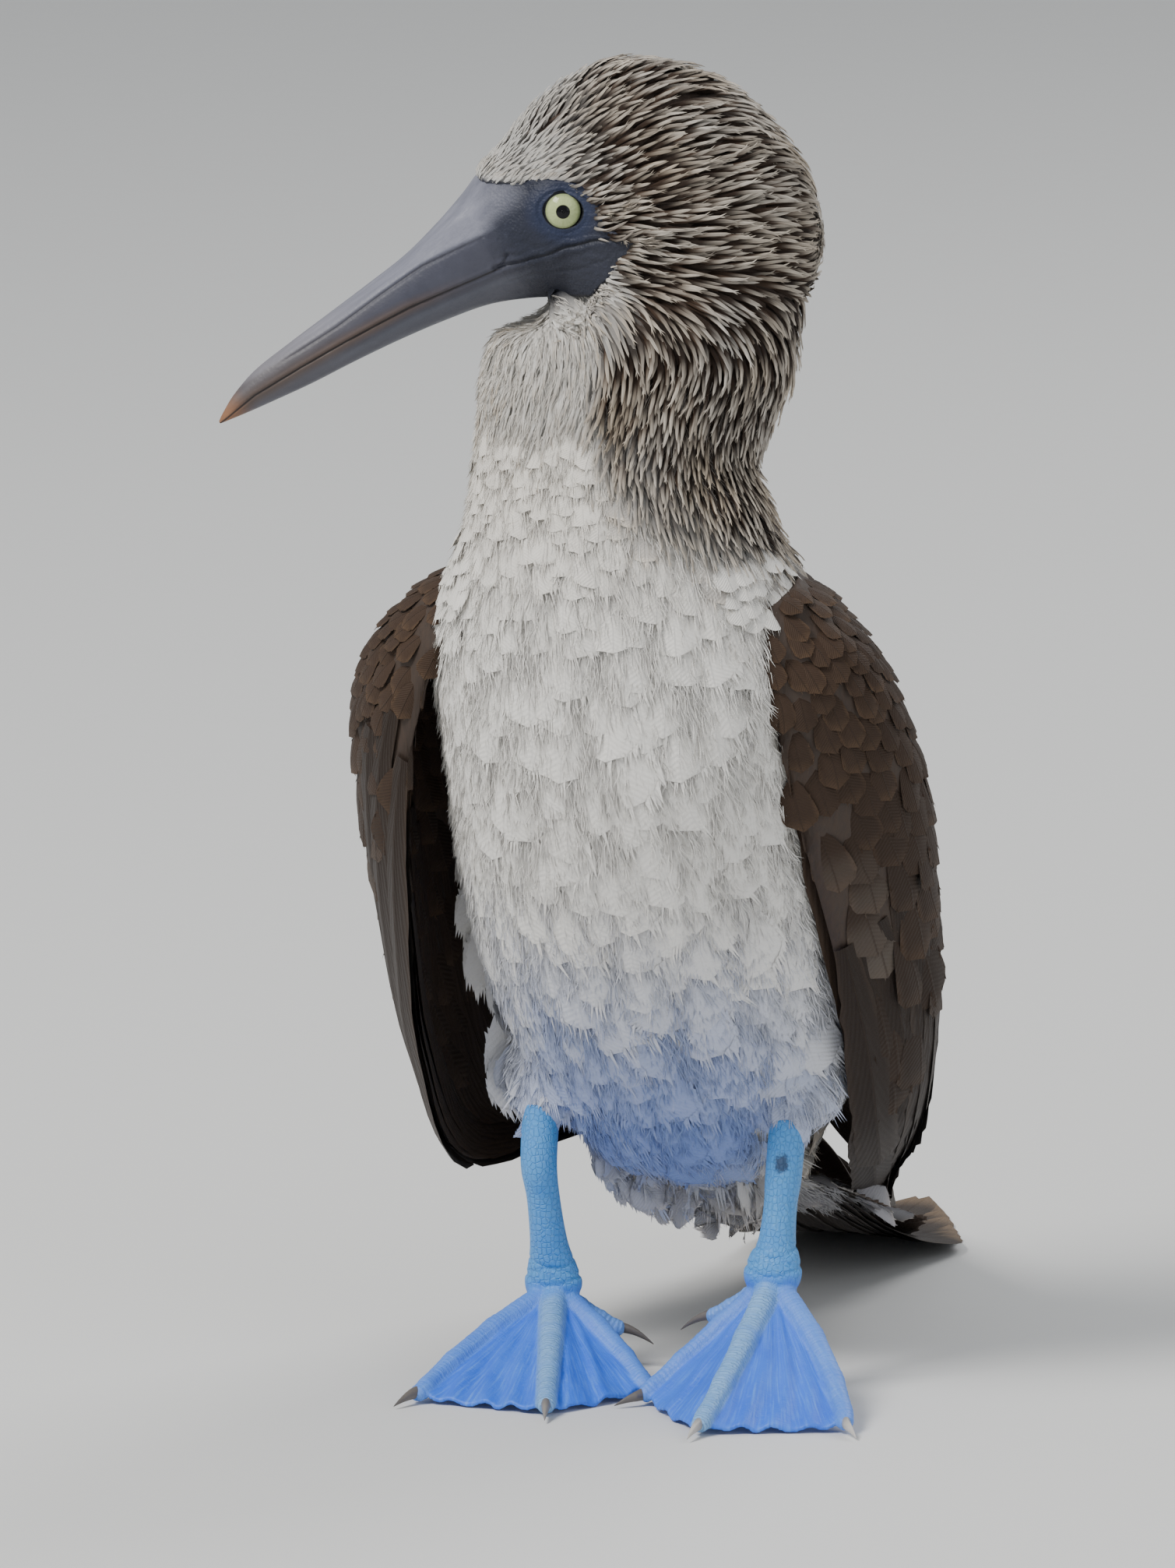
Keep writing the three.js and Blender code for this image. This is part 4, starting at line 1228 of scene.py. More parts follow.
def wingShade(paint, across, along, tint, fine):
    warm = paint.attribute("warm")
    dark = paint.mix(warm, colours["darkBrown"], colours["brown"])
    light = paint.mix(warm, (0.050, 0.034, 0.024), (0.16, 0.095, 0.052))
    edge = across.atLeast(along * 1.02 - 0.05)
    rim = paint.step(edge + (fine - 0.5) * 0.2, 0.62, 1.0)
    colour = paint.mix(rim * (0.1 + 0.45 * tint), dark, light)
    faded = paint.attribute("pale") * paint.step(along + fine * 0.2, 0.35, 0.8)
    colour = paint.mix(faded, colour, (0.56, 0.5, 0.43))
    streak = paint.noise(paint.stretch(paint.attribute("strand", "Vector"), (30, 2.2, 1)), 1, 4, 0.7)
    colour = paint.dimmed(colour, 0.35 + streak * 0.9)
    shaft = paint.step(across, 0.055, 0.015)
    return paint.mix(shaft * 0.55, colour, (0.035, 0.022, 0.015))


def covertTip(v):
    return max(0.04, math.sin(min(v + 0.06, 1) * math.pi * 0.56) ** 0.6 * (1 - max(v - 0.74, 0) ** 1.5 * 5.2))


def wingCoverts(name, blade):
    maker = np.random.default_rng(51 if name == "left" else 52)
    chosen = wingSettings
    surface = Surface(blade.data)
    t, q = np.meshgrid(np.linspace(0, 1, 160), np.linspace(0, 1, 40), indexing="ij")
    t, q = t.ravel(), q.ravel()
    table, out, along, _ = wingFrame(name, t, q)
    tree = treeOf(table)

    def params(p):
        return np.array([tree.find(q)[1] for q in p])

    def size(i):
        return lerp(*chosen["covert"], ramp(t[i] - 0.1 * q[i], 0.02, 0.62))

    def flow(p, normals):
        i = params(p)
        way = unit(along[i]) + unit(np.cross(out[i], along[i])) * (0.10 - 0.35 * q[i])[:, None] * sides[name]
        return unit(way - normals * (way * normals).sum(1)[:, None])

    def keep(p, normals):
        i = params(p)
        return ((t[i] < 0.54 - 0.22 * q[i]) & ((t[i] < 0.3) | (q[i] > 0.06))).astype(float)

    def spacing(p):
        return size(params(p)) * chosen["spacing"]

    roots, normals = surface.scatter(spacing, keep, 53)
    i = params(roots)
    width = size(i) * chosen["width"]
    length = size(i) * maker.uniform(0.88, 1.12, len(roots))
    lift = chosen["lift"] * maker.uniform(0.7, 1.2, len(roots))
    laid = lay(surface, roots, normals, flow, length, lift, maker, stray=0.08)
    laid["rootUv"] = np.stack([0.01 + 0.97 * q[i], 0.01 + 0.97 * t[i], np.zeros(len(i))], 1)
    vanes = several(3, vaneProto, "covert", 300, steps=7, outline=covertTip, fringe=8, reach=0.05)
    warm = np.clip(1.0 - t[i] * 1.5 + 0.35 * waves(roots, 30, 61), 0, 1)
    inner = (q[i] < 0.15) & (np.abs(t[i] - 0.34) < 0.06)
    pale = np.where(inner, 0.14 * maker.random(len(roots)), 0.0)
    paint = featherPaint(f"coverts_{name}", wingShade, roughness=0.62)
    coat(f"wing_{name}_coverts_coat", "wing_feathers", laid, width, vanes, paint, maker,
         ruffle=0.5, ruffleScale=200, arch=0.22, warm=warm, pale=pale)


stripSteps = 26  # points along a long feather


# Long feathers as strips: centres and sideways vectors along each, a width and its pattern
def strips(name, slotName, feathers, material):
    lanes = np.array([-1, -0.55, -0.07, 0, 0.07, 0.55, 1])
    levels = np.array([-0.13, -0.02, 0.0, 0.045, 0.0, -0.02, -0.13])[:, None]
    v = np.linspace(0, 1, stripSteps)
    taper = np.sqrt(np.clip(1 - np.clip((v - 0.86) / 0.14, 0, 1) ** 2.2, 0.0, 1))
    taper = np.maximum(np.minimum(1, 0.45 + v * 1.6) * taper, 0.03)
    tip = 1 - np.clip((v - 0.9) / 0.1, 0, 1) ** 2 * 0.2
    across, along = (grid.ravel() for grid in np.meshgrid(lanes, v))
    faces = gridFaces(stripSteps, len(lanes))
    parts, strands = [], []
    for number, feather in enumerate(feathers):
        centre, side, up = (feather[key][:, None] for key in ("centre", "side", "up"))
        maker = np.random.default_rng(900 + number)
        ragged = 1 + 0.05 * maker.normal(size=(stripSteps, len(lanes))) * (np.abs(lanes) == 1)
        wide = (feather["half"] * taper)[:, None]
        reach = (lanes * wide * ragged * tip[:, None])[:, :, None]
        parts.append(((centre + side * reach + up * levels * wide[:, :, None]).reshape(-1, 3), faces))
        strands.append(np.stack([across + number * 3.7, along * 4, 0 * along], 1))
    points, faces = merged(parts)
    mesh = makeMesh(name, toWorld(points), faces)
    facts = ([feather[key] for feather in feathers] for key in ("tint", "warm", "uv"))
    tint, warm, uv = (np.repeat(fact, len(across), 0) for fact in facts)
    across, along = np.tile(across, len(feathers)), np.tile(along, len(feathers))
    setAttributes(mesh, across=across, along=along, tint=tint, warm=warm, pale=0 * along)
    setAttributes(mesh, strand=np.concatenate(strands))
    layer = mesh.uv_layers.new(name="OFBake")
    loops = np.array([loop.vertex_index for loop in mesh.loops])
    places = uv + bakePatch * np.stack([across * 0.5 + 0.5, along], 1)
    layer.data.foreach_set("uv", places[loops].astype(np.float32).ravel())
    print(f"{name}: {len(feathers)} feathers, {trianglesOf(mesh)} triangles")
    settle(makeObject(name, mesh, material), slotName)


def wingFeather(name, start, end, rise, half, maker, under=False):
    tint = maker.random()
    v = np.linspace(0, 1, stripSteps)
    t = lerp(start[0], end[0], v)
    q = lerp(start[1], end[1], v) + 0.02 * np.sin(v * math.pi) * maker.normal()
    p, out, _, _ = wingFrame(name, t, q)
    level = 0.8 + lerp(rise[0], rise[1], v)
    if under:
        level = np.minimum(2.1 - wingDepth(name, t, q), -1.7) - 0.5 - rise[0]
    centre = p + out * level[:, None]
    out = -out if under else out
    side = unit(np.cross(out, unit(np.gradient(centre, axis=0))))
    return {
        "centre": centre, "side": side, "up": out, "half": half, "tint": tint, "warm": 0.4 if under else 0.12,
        "uv": (0.02 + 0.9 * start[1], 0.02 + 0.9 * start[0]),
    }


flightSettings = {
    "primaries": 9,
    "secondaries": 13,
    "under": 10,
    # Loose ones along the lower edge: place across, start and end along
    "loose": {
        "right": ((0.13, 0.2, 0.585), (0.07, 0.17, 0.6), (0.01, 0.22, 0.612)),
        "left": ((0.0, 0.52, 0.84), (0.02, 0.40, 0.70)),
    },
}


def wingFlight(name):
    chosen = flightSettings
    maker = np.random.default_rng(71 if name == "left" else 72)
    feathers = []

    def add(start, end, rise, half, under=False):
        feathers.append(wingFeather(name, start, end, rise, half, maker, under))

    for u in np.linspace(0, 1, chosen["primaries"]):  # from the innermost, shortest, to the outermost
        end = (0.80 + 0.195 * u ** 0.9, 0.30 + 0.22 * u)
        add((0.46 + 0.06 * u, 0.52 - 0.40 * u), end, (-1.4 - 0.8 * u, -1.2 - 0.5 * u), 8.4)
    for u in np.linspace(0, 1, chosen["secondaries"]):  # from the outermost to the tertials by the back
        end = (0.70 + 0.09 * math.sin(u * 3.1) - 0.02 * u, 0.03 + 0.86 * u)
        add((0.40 - 0.16 * u, 0.04 + 0.86 * u), end, (-1.3, -1.2 + 1.1 * u), 7.6 + 1.6 * u)
    for k, u in enumerate(np.linspace(0, 1, chosen["under"])):
        end = (0.60 + 0.36 * u ** 0.8, 0.04 + 0.4 * u)
        add((0.22 + 0.16 * u, 0.03 + 0.5 * u), end, (0.12 * (k % 3), 0), 8.2, True)
    for q, start, end in chosen["loose"][name]:
        add((start, q), (end, q), (-0.6 + q, 0.6 - 4 * q), 7.6)
    paint = featherPaint(f"flight_{name}", wingShade, roughness=0.55)
    strips(f"wing_{name}_flight_feathers", "wing_feathers", feathers, paint)


blades = {}
for wingName in sides:
    blades[wingName] = wingBlade(wingName)
    wingCoverts(wingName, blades[wingName])
    wingFlight(wingName)


# Feathers over both body and wings: scapulars and mantle behind, white tufts over the wrists in front
overlapSettings = {
    "mantle": {"length": 34, "width": 8.4, "spacing": 9.5},
    "tuft": {"length": 13, "width": 4.6, "spacing": 4.0},
    "lift": 3.6,
}


def overlaps():
    maker = np.random.default_rng(61)
    mantle, tuft, lift = (overlapSettings[key] for key in ("mantle", "tuft", "lift"))
    parts = [solidOf(thing) for thing in (skin, blades["left"], blades["right"])]
    ground = Surface(makeMesh("overlap_ground", *merged(parts)))

    def outermost(p, normals):
        seen = []
        for q, n in zip(p, normals):
            hit = ground.tree.ray_cast(Vector(q + n * 45), Vector(-n), 60)
            seen.append(hit[0] is not None and (hit[0] - Vector(q)).length < 1.2)
        return np.array(seen)

    def keepBack(p, normals):
        facing = normals @ np.array([0, 0.9, 0.3])
        wide = lerp(46, 22, ramp(150 - p[:, 2], 0, 70))
        inside = (np.abs(p[:, 0]) < wide) & (p[:, 2] < 262) & (p[:, 2] > 96) & (p[:, 1] > -25)
        return ((facing > 0.12) & inside).astype(float)

    def keepFront(p, normals):
        left, right = (np.linalg.norm((p - (s * 45, -45, 261)) / (1.1, 1.5, 0.8), axis=1) for s in (1, -1))
        facing = normals @ np.array([0, -1, 0.5])
        return ((np.minimum(left, right) < 12.5) & (facing > -0.15)).astype(float)

    def strewn(chosen, keep, seed, longer):
        roots, normals = ground.scatter(lambda p: np.full(len(p), chosen["spacing"]), keep, seed)
        seen = outermost(roots, normals)
        roots, normals = roots[seen], normals[seen]
        length = chosen["length"] * longer(roots) * maker.uniform(0.9, 1.1, len(roots))
        rise = lift * maker.uniform(0.85, 1.15, len(roots))
        return roots, length, lay(ground, roots, normals, coatFlow, length, rise, maker, stray=0.08)

    roots, length, laid = strewn(mantle, keepBack, 62, lambda p: lerp(0.7, 1.15, ramp(250 - p[:, 2], 0, 90)))
    vanes = several(3, vaneProto, "mantle", 500, steps=7, outline=covertTip, fringe=10, reach=0.06)
    pale = np.where((np.abs(roots[:, 0]) < 26) & (maker.random(len(roots)) < 0.65), 0.75, 0.1)
    paint = featherPaint("mantle", wingShade, roughness=0.62)
    width = mantle["width"] * length / mantle["length"]
    coat("mantle_coat", "wing_feathers", laid, width, vanes, paint, maker,
         ruffle=0.6, ruffleScale=200, arch=0.2, warm=np.full(len(roots), 0.55), pale=pale)
    roots, length, laid = strewn(tuft, keepFront, 63, lambda p: 1)
    vanes = several(3, vaneProto, "tuft", 600, steps=6, outline=roundTip, fringe=20, reach=0.22)
    plain = np.zeros(len(roots))
    paint = featherPaint("shoulders", whiteShade)
    coat("shoulder_tufts", "white_feathers", laid, tuft["width"], vanes, paint, maker,
         ruffle=1.4, ruffleScale=300, arch=0.2, brown=plain, cool=plain, cream=plain + 0.1)


overlaps()


# Tail: a fan of stiff feathers, the middle ones longest and uppermost
tailSettings = {
    "pairs": 7,
    "half": 8.4,  # width
    "fan": 29,  # from the middle to the outer feather's line
    "voxel": 0.0016,
    "covert": (17, 32),  # lengths from the root on
    "covertWidth": 0.22,  # of the length
    "covertSpacing": 0.25,
    "covertLift": 1.7,
    "down": {"spacing": 2.7, "length": 11, "width": 2.4, "lift": 2.6},
}


def tailFeathers():
    maker = np.random.default_rng(81)
    chosen = tailSettings
    feathers = []
    for k in range(2 * chosen["pairs"]):
        s = (k - chosen["pairs"] + 0.5) / (chosen["pairs"] - 0.5)
        end = 1 - 0.31 * abs(s) ** 1.25
        share = np.linspace(0.02, end, stripSteps)
        rows = smoothRows(tailRows, share)
        u = share / end
        x = s * lerp(11, chosen["fan"], u ** 0.9)
        level = rows[:, 2] + (1 - abs(s)) * 1.5 - 0.7 + 0.25 * np.sin(k * 2.1)
        level = np.maximum(level, 0.9 + 0.5 * (1 - abs(s)))
        centre = np.stack([x, tailStart + share * tailLength, level], 1)
        way = unit(np.gradient(centre, axis=0))
        side = unit(np.cross(np.array([0, 0, 1.0]), way) + np.array([0, 0, 0.10 * s]))
        up = unit(np.cross(way, side))
        feathers.append({
            "centre": centre, "side": side, "up": up, "half": chosen["half"] * (1 - 0.2 * abs(s)),
            "tint": maker.random(), "warm": 0.1, "uv": (0.1 + 0.05 * k, 0.5),
        })
    paint = featherPaint("tail_vanes", tailShade, roughness=0.55)
    strips("tail_feathers", "tail_feathers", feathers, paint)


def tailShade(paint, across, along, tint, fine):
    colour = wingShade(paint, across, along, tint, fine)
    worn = paint.step(along + (fine - 0.5) * 0.06, 0.9, 0.985)
    return paint.mix(worn * 0.6, colour, (0.22, 0.15, 0.09))


tailFeathers()


def tailShare(p):
    return (p[:, 1] - tailStart) / tailLength


def tailSkin():
    thing = joinedCopies("tail_skin", "tail")
    p, normals = remeshed(thing, tailSettings["voxel"], 3)
    share = tailShare(p)
    depth = lerp(2.6, 1.1, ramp(share, 0.0, 0.4)) + 30 * ramp(share, 0.5, 0.62)
    middle = smoothRows(tailRows, share)[:, 2]
    flattened = lerp(p[:, 2], middle, ramp(share, 0.5, 0.6))
    level = np.where(share > 0.5, flattened, p[:, 2] - normals[:, 2] * depth)
    narrowed = p[:, 0] * lerp(1.0, 0.3, ramp(share, 0.45, 0.7))
    p = np.stack([narrowed, np.minimum(p[:, 1], tailStart + 0.8 * tailLength), np.maximum(level, 0.8)], 1)
    setPoints(thing.data, toWorld(p))
    setAttributes(thing.data, brown=ramp(p[:, 2] - middle, -2, 2))
    thing.data.materials.append(skin.data.materials[0])
    return settle(thing, "tail_feathers", "tail")


def tailCoverts(thing):
    maker = np.random.default_rng(91)
    chosen = tailSettings
    surface = Surface(thing.data)

    def size(p):
        return lerp(*chosen["covert"], ramp(tailShare(p), -0.05, 0.3))

    def flow(p, normals):
        way = np.stack([p[:, 0] * 0.006, np.ones(len(p)), np.zeros(len(p))], 1)
        return unit(way - normals * (way * normals).sum(1)[:, None])

    def keep(p, normals):
        side = np.abs(normals[:, 2]) > 0.35
        return ((tailShare(p) < lerp(0.3, 0.24, ramp(normals[:, 2], -0.3, 0.3))) & side).astype(float)

    def keepLow(p, normals):
        return keep(p, normals) * (normals[:, 2] < 0.3)

    roots, normals = surface.scatter(lambda p: size(p) * chosen["covertSpacing"], keep, 92)
    length = size(roots)
    lift = chosen["covertLift"] * maker.uniform(0.6, 1.2, len(roots))
    laid = lay(surface, roots, normals, flow, length, lift, maker, stray=0.08)
    top = ramp(normals[:, 2], -0.2, 0.3)
    upward = 0.1 + tailShare(roots) * 0.8 + 0.4 * (top < 0.5)
    laid["rootUv"] = np.stack([0.5 + roots[:, 0] / 90, upward, 0 * top], 1)
    laid["tip"][:, 2] = np.maximum(laid["tip"][:, 2], 1)
    vanes = several(3, vaneProto, "tail_covert", 400, steps=7, outline=covertTip, fringe=16, reach=0.08)
    paint = featherPaint("tail_coverts", whiteShade)
    # Painted shade: the lower coverts get a brown share of 0.55 and a blue cast so that they look shadowed;
    # the upper ones are brown markings
    coat("tail_coverts", "tail_feathers", laid, length * chosen["covertWidth"], vanes, paint, maker,
         ruffle=0.8, ruffleScale=200, arch=0.2, brown=0.55 + top * 0.4, cool=(1 - top) * 0.3, cream=0 * top)
    down = chosen["down"]
    roots, normals = surface.scatter(lambda p: np.full(len(p), down["spacing"]), keepLow, 93)
    length = down["length"] * maker.uniform(0.7, 1.3, len(roots))
    laid = lay(surface, roots, normals, flow, length, down["lift"], maker, stray=0.2, sink=-1)
    laid["tip"][:, 2] = np.maximum(laid["tip"][:, 2], 1)
    wisps = several(4, wispProto, "tail_wisp", 450, blades=4, spread=1.1, slim=0.075)
    plain = np.zeros(len(roots))
    # Painted shade: the down under the tail is greyed with brown and a blue cast
    coat("tail_down", "tail_feathers", laid, down["width"], wisps, paint, maker,
         ruffle=0.9, ruffleScale=300, arch=0.1, brown=plain + 0.4, cool=plain + 0.2, cream=plain)


tailCoverts(tailSkin())


# Feet: webs with folds, jointed toes and shanks in one skin each; the measures are the solids'
feet = {
    "left": {
        "at": (37, -1, 37),
        "heading": -4,
        "spread": {"outer": 41, "middle": 0, "inner": -46, "hind": -92},
        "claws": {"outer": 0.9, "middle": 0.9, "inner": 0.12, "hind": 0.12},  # how pale
    },
    "right": {
        "at": (-36.6, 14, 27),
        "heading": -15,
        "spread": {"outer": 38, "middle": 0, "inner": -38, "hind": -96},
        "claws": {"outer": 0.12, "middle": 0.35, "inner": 0.12, "hind": 0.12},
    },
}
# Length from the knuckle, radius at root and end, height of the end (the hind toe hangs below the knuckle)
toes = {
    "outer": (70, 3.9, 2.6, 2.7),
    "middle": (73, 4.1, 2.7, 2.9),
    "inner": (55, 3.9, 2.7, 2.7),
    "hind": (26, 3.3, 2.3, -15),
}
palerToes = {"outer": 0.34, "middle": 1, "inner": 0.34, "hind": 0.6}
footSettings = {
    "voxel": 0.00062,
    "webThick": 1.5,
    "fold": 1.5,
    "clawLength": 9.0,
    "legSpot": ((39.4, -1.4, 71.0), (2.8, 3.4, 3.5)),  # a dark spot on the left shank, its middle and size
}


def toeFrame(name, toe):
    foot, (length, root, end, rest) = feet[name], toes[toe]
    rest = rest if rest > 0 else foot["at"][2] + rest
    reach = math.sqrt(length ** 2 - (foot["at"][2] - rest) ** 2)
    turn = math.radians(sides[name] * (foot["heading"] + foot["spread"][toe]))
    return foot, reach, rest, root, end, turn


def footPoint(foot, turn, distance, height):
    x, y, _ = foot["at"]
    heading = math.radians(math.copysign(1, x) * foot["heading"])
    spread = turn - heading
    reach = np.where(spread * x > 0, 62, lerp(64, 45, ramp(np.abs(spread), 0, 0.8)))
    bow = 0.42 * np.clip(1 - distance / reach, 0, 1) * (1 - ramp(np.abs(spread), 1.0, 1.5))
    turn = heading + spread * (1 + bow)
    return np.stack(np.broadcast_arrays(x + np.sin(turn) * distance, y - np.cos(turn) * distance, height), -1)


def drooped(foot, rest, share):
    return lerp(rest, foot["at"][2] - 2, np.clip(1 - share, 0, 1) ** 1.15)


def tube(centres, side, up, wide, deep, around=26):
    angle = np.linspace(0, 2 * math.pi, around, endpoint=False)[None, :, None]
    centres, side, up = (np.broadcast_to(value, (len(wide), 3))[:, None, :] for value in (centres, side, up))
    loops = centres + side * np.cos(angle) * wide[:, None, None] + up * np.sin(angle) * deep[:, None, None]
    solid, faces = loftFaces(len(wide), around, loops.reshape(-1, 3))
    return solid, turnedOut(solid, faces)


def toeTube(name, toe):
    foot, reach, rest, root, end, turn = toeFrame(name, toe)
    share = np.concatenate([np.linspace(0, 0.97, 60), 1 - 0.03 * (1 - np.linspace(0.1, 1, 8)) ** 2])
    radius = lerp(root, end, share)
    for joint in (0.36, 0.66, 0.9):
        radius = radius * (1 + 0.12 * np.exp(-((share - joint) / 0.05) ** 2))
    radius = radius * np.sqrt(np.clip(1 - np.clip((share - 0.965) / 0.037, 0, 1) ** 2, 0.02, 1))
    centres = footPoint(foot, turn, share * reach, drooped(foot, rest, share))
    side = np.array([math.cos(turn), math.sin(turn), 0])
    way = unit(np.gradient(centres, axis=0))
    return tube(centres, side, unit(np.cross(side, way)), radius, radius * 0.94)


def webSheet(name):
    chosen = footSettings
    fan, dips = ("hind", "inner", "middle", "outer"), (0.86, 1.02, 0.99)
    rim = 2.2  # how far the web's edge lies behind the toes' ends
    rays = []
    share = np.linspace(0.02, 1, 52)
    for k, toe in enumerate(fan[:-1]):
        foot, reach, rest, _, _, turn = toeFrame(name, toe)
        _, reach2, rest2, _, _, turn2 = toeFrame(name, fan[k + 1])
        start = np.array([math.sin(turn), -math.cos(turn)]) * (reach - rim)
        end = np.array([math.sin(turn2), -math.cos(turn2)]) * (reach2 - rim)
        for q in np.linspace(0, 1, 30)[(1 if k else 0):]:
            edge = lerp(start, end, q)
            far = np.linalg.norm(edge) * (1 - (1 - dips[k]) * math.sin(math.pi * q))
            way = math.atan2(edge[0], -edge[1])
            level = lerp(rest, rest2, q)
            sag = 1.3 * math.sin(math.pi * q) * share
            wave = np.sin(2 * math.pi * (q * (2.3 + k) + 0.16 * np.sin(share * 5 + k))) * 0.6
            wave = wave + np.sin(2 * math.pi * (q * 6.1 - 0.5 * share)) * 0.22
            wave = wave + 0.2 * np.sin(share * 17 + q * 9)
            fold = chosen["fold"] * wave * math.sin(math.pi * q) ** 0.7 * share ** 0.5
            middle = np.maximum(drooped(foot, level, share) - sag + fold, chosen["webThick"] / 2)
            rays.append(footPoint(foot, way, share * far, middle))
    rays = np.array(rays)
    thick = chosen["webThick"] / 2 * np.array([0, 0, 1])
    rows, columns = rays.shape[:2]
    points = np.concatenate([(rays + thick).reshape(-1, 3), (rays - thick).reshape(-1, 3)])
    top = gridFaces(rows, columns)
    half = rows * columns
    faces = top.tolist() + (top[:, ::-1] + half).tolist()
    places = np.arange(half).reshape(rows, columns)
    border = [*places[:, 0], *places[-1, 1:], *places[-2::-1, -1], *places[0, -2:0:-1]]
    for a, b in zip(border, border[1:] + border[:1]):
        faces.append((b, a, a + half, b + half))
    return points, turnedOut(points, faces)


def legTube(name):
    side = sides[name]
    x, y, z = feet[name]["at"]
    headX, headY, headZ = stance["legHead"]

    def between(share):
        return lerp(x, side * headX, share), lerp(y, headY, share), lerp(z, headZ, share)

    rows = [  # from the feathers down: middle, half width and half depth
        (side * (headX + 0.3), headY + 4, headZ + 18, 5.6, 6.2),
        (*between(1), 5.5, 6.1),
        (*between(0.7), 5.0, 5.7),
        (*between(0.35), 5.7, 6.1),
        (*between(0.12)[:2], z + 6, 7.5, 6.3),
        (x, y - 0.6, z + 0.5, 9.0, 6.0),
        (x, y - 1.6, z - 4, 7.4, 4.0),
        (x, y - 2, z - 7, 2.5, 2.5),
    ]
    fine = smoothRows(rows, np.linspace(0, 1, 90))
    return tube(fine[:, :3], np.array([1.0, 0, 0]), np.array([0, 1.0, 0]), fine[:, 3], fine[:, 4], 40)


def footPaint():
    paint = Paint("foot_skin", Roughness=0.5)
    at = paint.place()
    toe, along, shank = paint.attribute("toe"), paint.attribute("toeAlong"), paint.attribute("shank")
    polar, spot = paint.attribute("polar", "Vector"), paint.attribute("spot")
    rays = paint.noise(paint.stretch(polar, (55, 3.0, 1)), 1, 4, 0.6)
    ripples = paint.noise(paint.stretch(polar, (7, 60, 1)), 1, 3, 0.6)
    blotches = paint.noise(at, 62, 3, 0.6)
    grain = paint.noise(at, 950, 3, 0.65)
    scales = paint.cells(paint.stretch(at, (1.15, 1.15, 0.9)), 560, "DISTANCE_TO_EDGE", 0.6)
    scutes = (along * 4.6 + paint.noise(at, 190, 3) * 9).sine() * 0.5 + 0.5
    web = paint.layered(
        paint.mix(blotches, (0.012, 0.095, 0.68), (0.045, 0.22, 0.90)),
        (paint.step(rays, 0.45, 0.75) * 0.45, (0.16, 0.40, 0.92)),
        (paint.step(grain, 0.55, 0.8) * 0.25, (0.20, 0.44, 0.90)),
    )
    toeColour = paint.mix(blotches, (0.15, 0.35, 0.68), (0.27, 0.50, 0.82))
    toeColour = paint.mix(paint.step(scutes, 0.3, 0.02) * 0.3, toeColour, (0.08, 0.24, 0.62))
    shankColour = paint.layered(
        paint.mix(blotches, (0.035, 0.23, 0.66), (0.10, 0.38, 0.74)),
        (paint.step(scales, 0.12, 0.015) * 0.16, (0.03, 0.14, 0.48)),
        (paint.step(grain, 0.5, 0.75) * 0.3, (0.25, 0.52, 0.74)),
    )
    stain = paint.step(spot + (blotches + grain - 1) * 1.1, 1.15, 0.6)
    colour = paint.layered(web, (toe, toeColour), (shank, shankColour), (stain * 0.85, (0.022, 0.035, 0.075)))
    webHeight = ripples * 0.35 + rays * 0.5 + grain * 0.25
    scaleHeight = paint.step(scales, 0.0, 0.14) * 0.4 + grain * 0.25
    height = webHeight * (1 - shank) * (1 - toe) + scutes * toe * (1 - shank) * 0.6 + scaleHeight * shank
    return paint.finish(colour, 0.4 + grain * 0.22, height, 0.00045)


def clawPaint():
    paint = Paint("claw_horn", Roughness=0.35)
    at = paint.place()
    along, pale = paint.attribute("along"), paint.attribute("pale")
    grain = paint.noise(at, 900, 3)
    dark = paint.mix(paint.step(along, 0.1, 0.9), (0.10, 0.085, 0.075), (0.035, 0.028, 0.025))
    light = paint.mix(paint.step(along, 0.0, 0.6), (0.30, 0.30, 0.30), (0.62, 0.60, 0.56))
    colour = paint.mix(pale, dark, light)
    colour = paint.mix(grain * 0.25, colour, (0.15, 0.12, 0.1))
    return paint.finish(colour, 0.3 + grain * 0.15, grain, 0.0001)


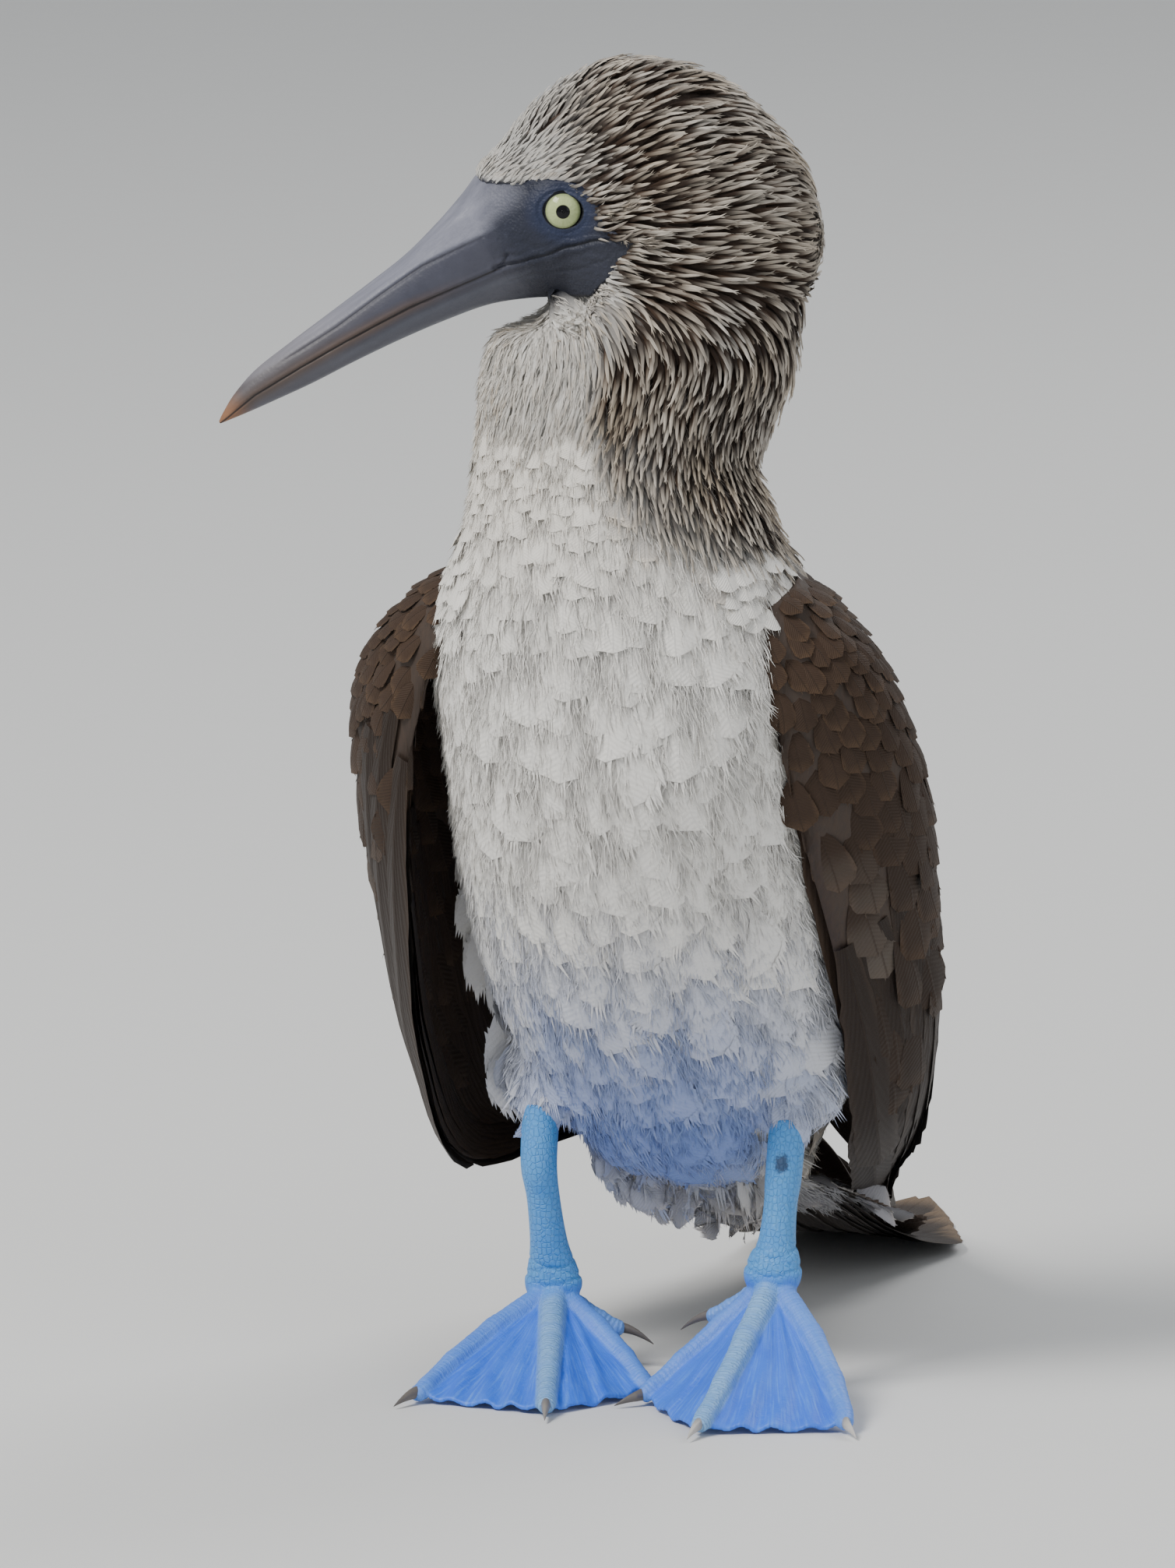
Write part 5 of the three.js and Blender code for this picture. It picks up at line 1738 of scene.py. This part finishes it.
def foot(name, skinPaint, hornPaint):
    points, faces = merged([webSheet(name), legTube(name)] + [toeTube(name, toe) for toe in toes])
    thing = makeObject(f"foot_{name}_skin", makeMesh(f"foot_{name}_skin", toWorld(points), faces))
    p, normals = remeshed(thing, footSettings["voxel"], 3)
    x, y, z = feet[name]["at"]
    near, along, paler = np.full(len(p), 99.0), np.zeros(len(p)), np.zeros(len(p))
    for toe in toes:
        own, reach, rest, root, end, turn = toeFrame(name, toe)
        share = np.linspace(0.05, 1, 60)
        line = footPoint(own, turn, share * reach, drooped(own, rest, share))
        for k, spot in enumerate(line):
            away = np.linalg.norm(p - spot, axis=1) - lerp(root, end, share[k])
            along = np.where(away < near, share[k] * reach, along)
            paler = np.where(away < near, palerToes[toe], paler)
            near = np.minimum(near, away)
    flat = p[:, :2] - (x, y)
    far, angle, ankle = np.linalg.norm(flat, axis=1), np.arctan2(flat[:, 0], -flat[:, 1]), p[:, 2] - z
    shank = ramp(ankle, -5 + 1.5 * np.sin(p[:, 0] * 0.9), 3) * ramp(14 - far, 0, 5)
    shank = np.maximum(shank, ramp(ankle, 2, 5))
    polar = np.stack([angle, far / 40, 0 * far], 1)
    crease = sum(groove(ankle + 1.2 * np.sin(angle * 2 + level), level, 0.5) for level in (1.5, 4.5, 7.2))
    crease = crease * ramp(14 - far, 0, 4)
    bumps = ramp(1 - near, 0, 1) * (1 - shank) * np.sin(along * 3.3 + 2 * waves(p, 9, 88)) * 0.06
    p = p + normals * (bumps - 0.4 * crease)[:, None]
    p[:, 2] = np.maximum(p[:, 2], 0.05)
    setPoints(thing.data, toWorld(p))
    middle, size = footSettings["legSpot"]
    spot = np.linalg.norm((p - middle) / size, axis=1)
    toe = ramp(0.9 - near, 0, 0.9) * (1 - shank) * paler
    setAttributes(thing.data, toe=toe, toeAlong=along, shank=shank, polar=polar, spot=spot)
    thing.data.materials.append(skinPaint)
    settle(thing, "foot_skin", f"foot_{name}", f"shank_{name}")
    for toe in toes:
        own, reach, rest, _, end, turn = toeFrame(name, toe)
        share = np.linspace(0, 1, 30)
        drop = 5 if toe == "hind" else 2.2
        radius = lerp(end * 0.74, 0.12, share ** 1.25)
        height = np.maximum(rest + 0.9 - (drop + 0.4) * share ** 1.7, radius * 1.02)
        centres = footPoint(own, turn, reach - 1.6 + share * (footSettings["clawLength"] + 1.6), height)
        side = np.array([math.cos(turn), math.sin(turn), 0])
        way = unit(np.gradient(centres, axis=0))
        around = 22
        solid, clawFaces = tube(centres, side, unit(np.cross(side, way)), radius * 0.78, radius, around)
        claw = f"claw_{name}_{toe}"
        mesh = makeMesh(f"{claw}_horn", toWorld(solid), clawFaces)
        along = np.concatenate([share.repeat(around), [0, 1]])
        setAttributes(mesh, along=along, pale=np.full(len(solid), own["claws"][toe]))
        settle(makeObject(f"{claw}_horn", mesh, hornPaint), "claw_horn", claw)
    print(f"foot {name}: {len(thing.data.polygons)} faces")


footSkin, clawHorn = footPaint(), clawPaint()
foot("left", footSkin, clawHorn)
foot("right", footSkin, clawHorn)


# Floor, light and camera
stageSettings = {"azimuth": 17, "elevation": 10, "distance": 5, "lens": 380.5, "aim": (-20.8, 181.8)}


def floorPaint():
    paint = Paint("floor", Roughness=0.7)
    at = paint.place()
    fine = paint.noise(at, 60, 4)
    colour = paint.mix(fine * 0.2, (0.72, 0.72, 0.71), (0.66, 0.66, 0.65))
    return paint.finish(colour, 0.6 + fine * 0.15, fine, 0.0001)


def setStage():
    chosen = stageSettings
    half = 40  # metres, so that its edge stays out of view
    corners = [(-half, -half, 0), (half, -half, 0), (half, half, 0), (-half, half, 0)]
    mesh = makeMesh("floor", corners, [(0, 1, 2, 3)])
    makeObject("floor", mesh, floorPaint())
    around, tall = math.radians(chosen["azimuth"]), math.radians(chosen["elevation"])
    right = Vector((math.cos(around), math.sin(around), 0))
    back = Vector((math.cos(tall) * math.sin(around), -math.cos(tall) * math.cos(around), math.sin(tall)))
    upward = back.cross(right)
    aim = right * chosen["aim"][0] + upward * chosen["aim"][1]
    data = bpy.data.cameras.new("camera")
    data.lens = chosen["lens"]
    data.clip_end = 200
    camera = bpy.data.objects.new("camera", data)
    bpy.context.scene.collection.objects.link(camera)
    place = (aim + Vector(shift)) / 1000 + back * chosen["distance"]
    camera.matrix_world = Matrix.Translation(place) @ Matrix((right, upward, back)).transposed().to_4x4()
    bpy.context.scene.camera = camera
    middle = Vector(toWorld((0, 0, 200)).tolist())
    for name, place, size, power, colour in (
        ("key_light", (-1.2, -1.8, 2.4), 1.1, 112, (1, 0.98, 0.95)),
        ("fill_light", (2.2, -1.3, 1.0), 2.0, 16, (0.93, 0.96, 1)),
        ("back_light", (0.9, 2.1, 1.9), 1.5, 34, (1, 1, 1)),
    ):
        lamp = bpy.data.lights.new(name, "AREA")
        lamp.size, lamp.energy, lamp.color = size, power, colour
        thing = bpy.data.objects.new(name, lamp)
        bpy.context.scene.collection.objects.link(thing)
        thing.location = middle + Vector(place)
        thing.rotation_euler = (middle - thing.location).to_track_quat("-Z", "Y").to_euler()
    world = bpy.data.worlds.new("studio")
    bpy.context.scene.world = world
    world.use_nodes = True
    background = world.node_tree.nodes["Background"]
    background.inputs["Color"].default_value = (0.74, 0.77, 0.8, 1)
    background.inputs["Strength"].default_value = 0.55


setStage()
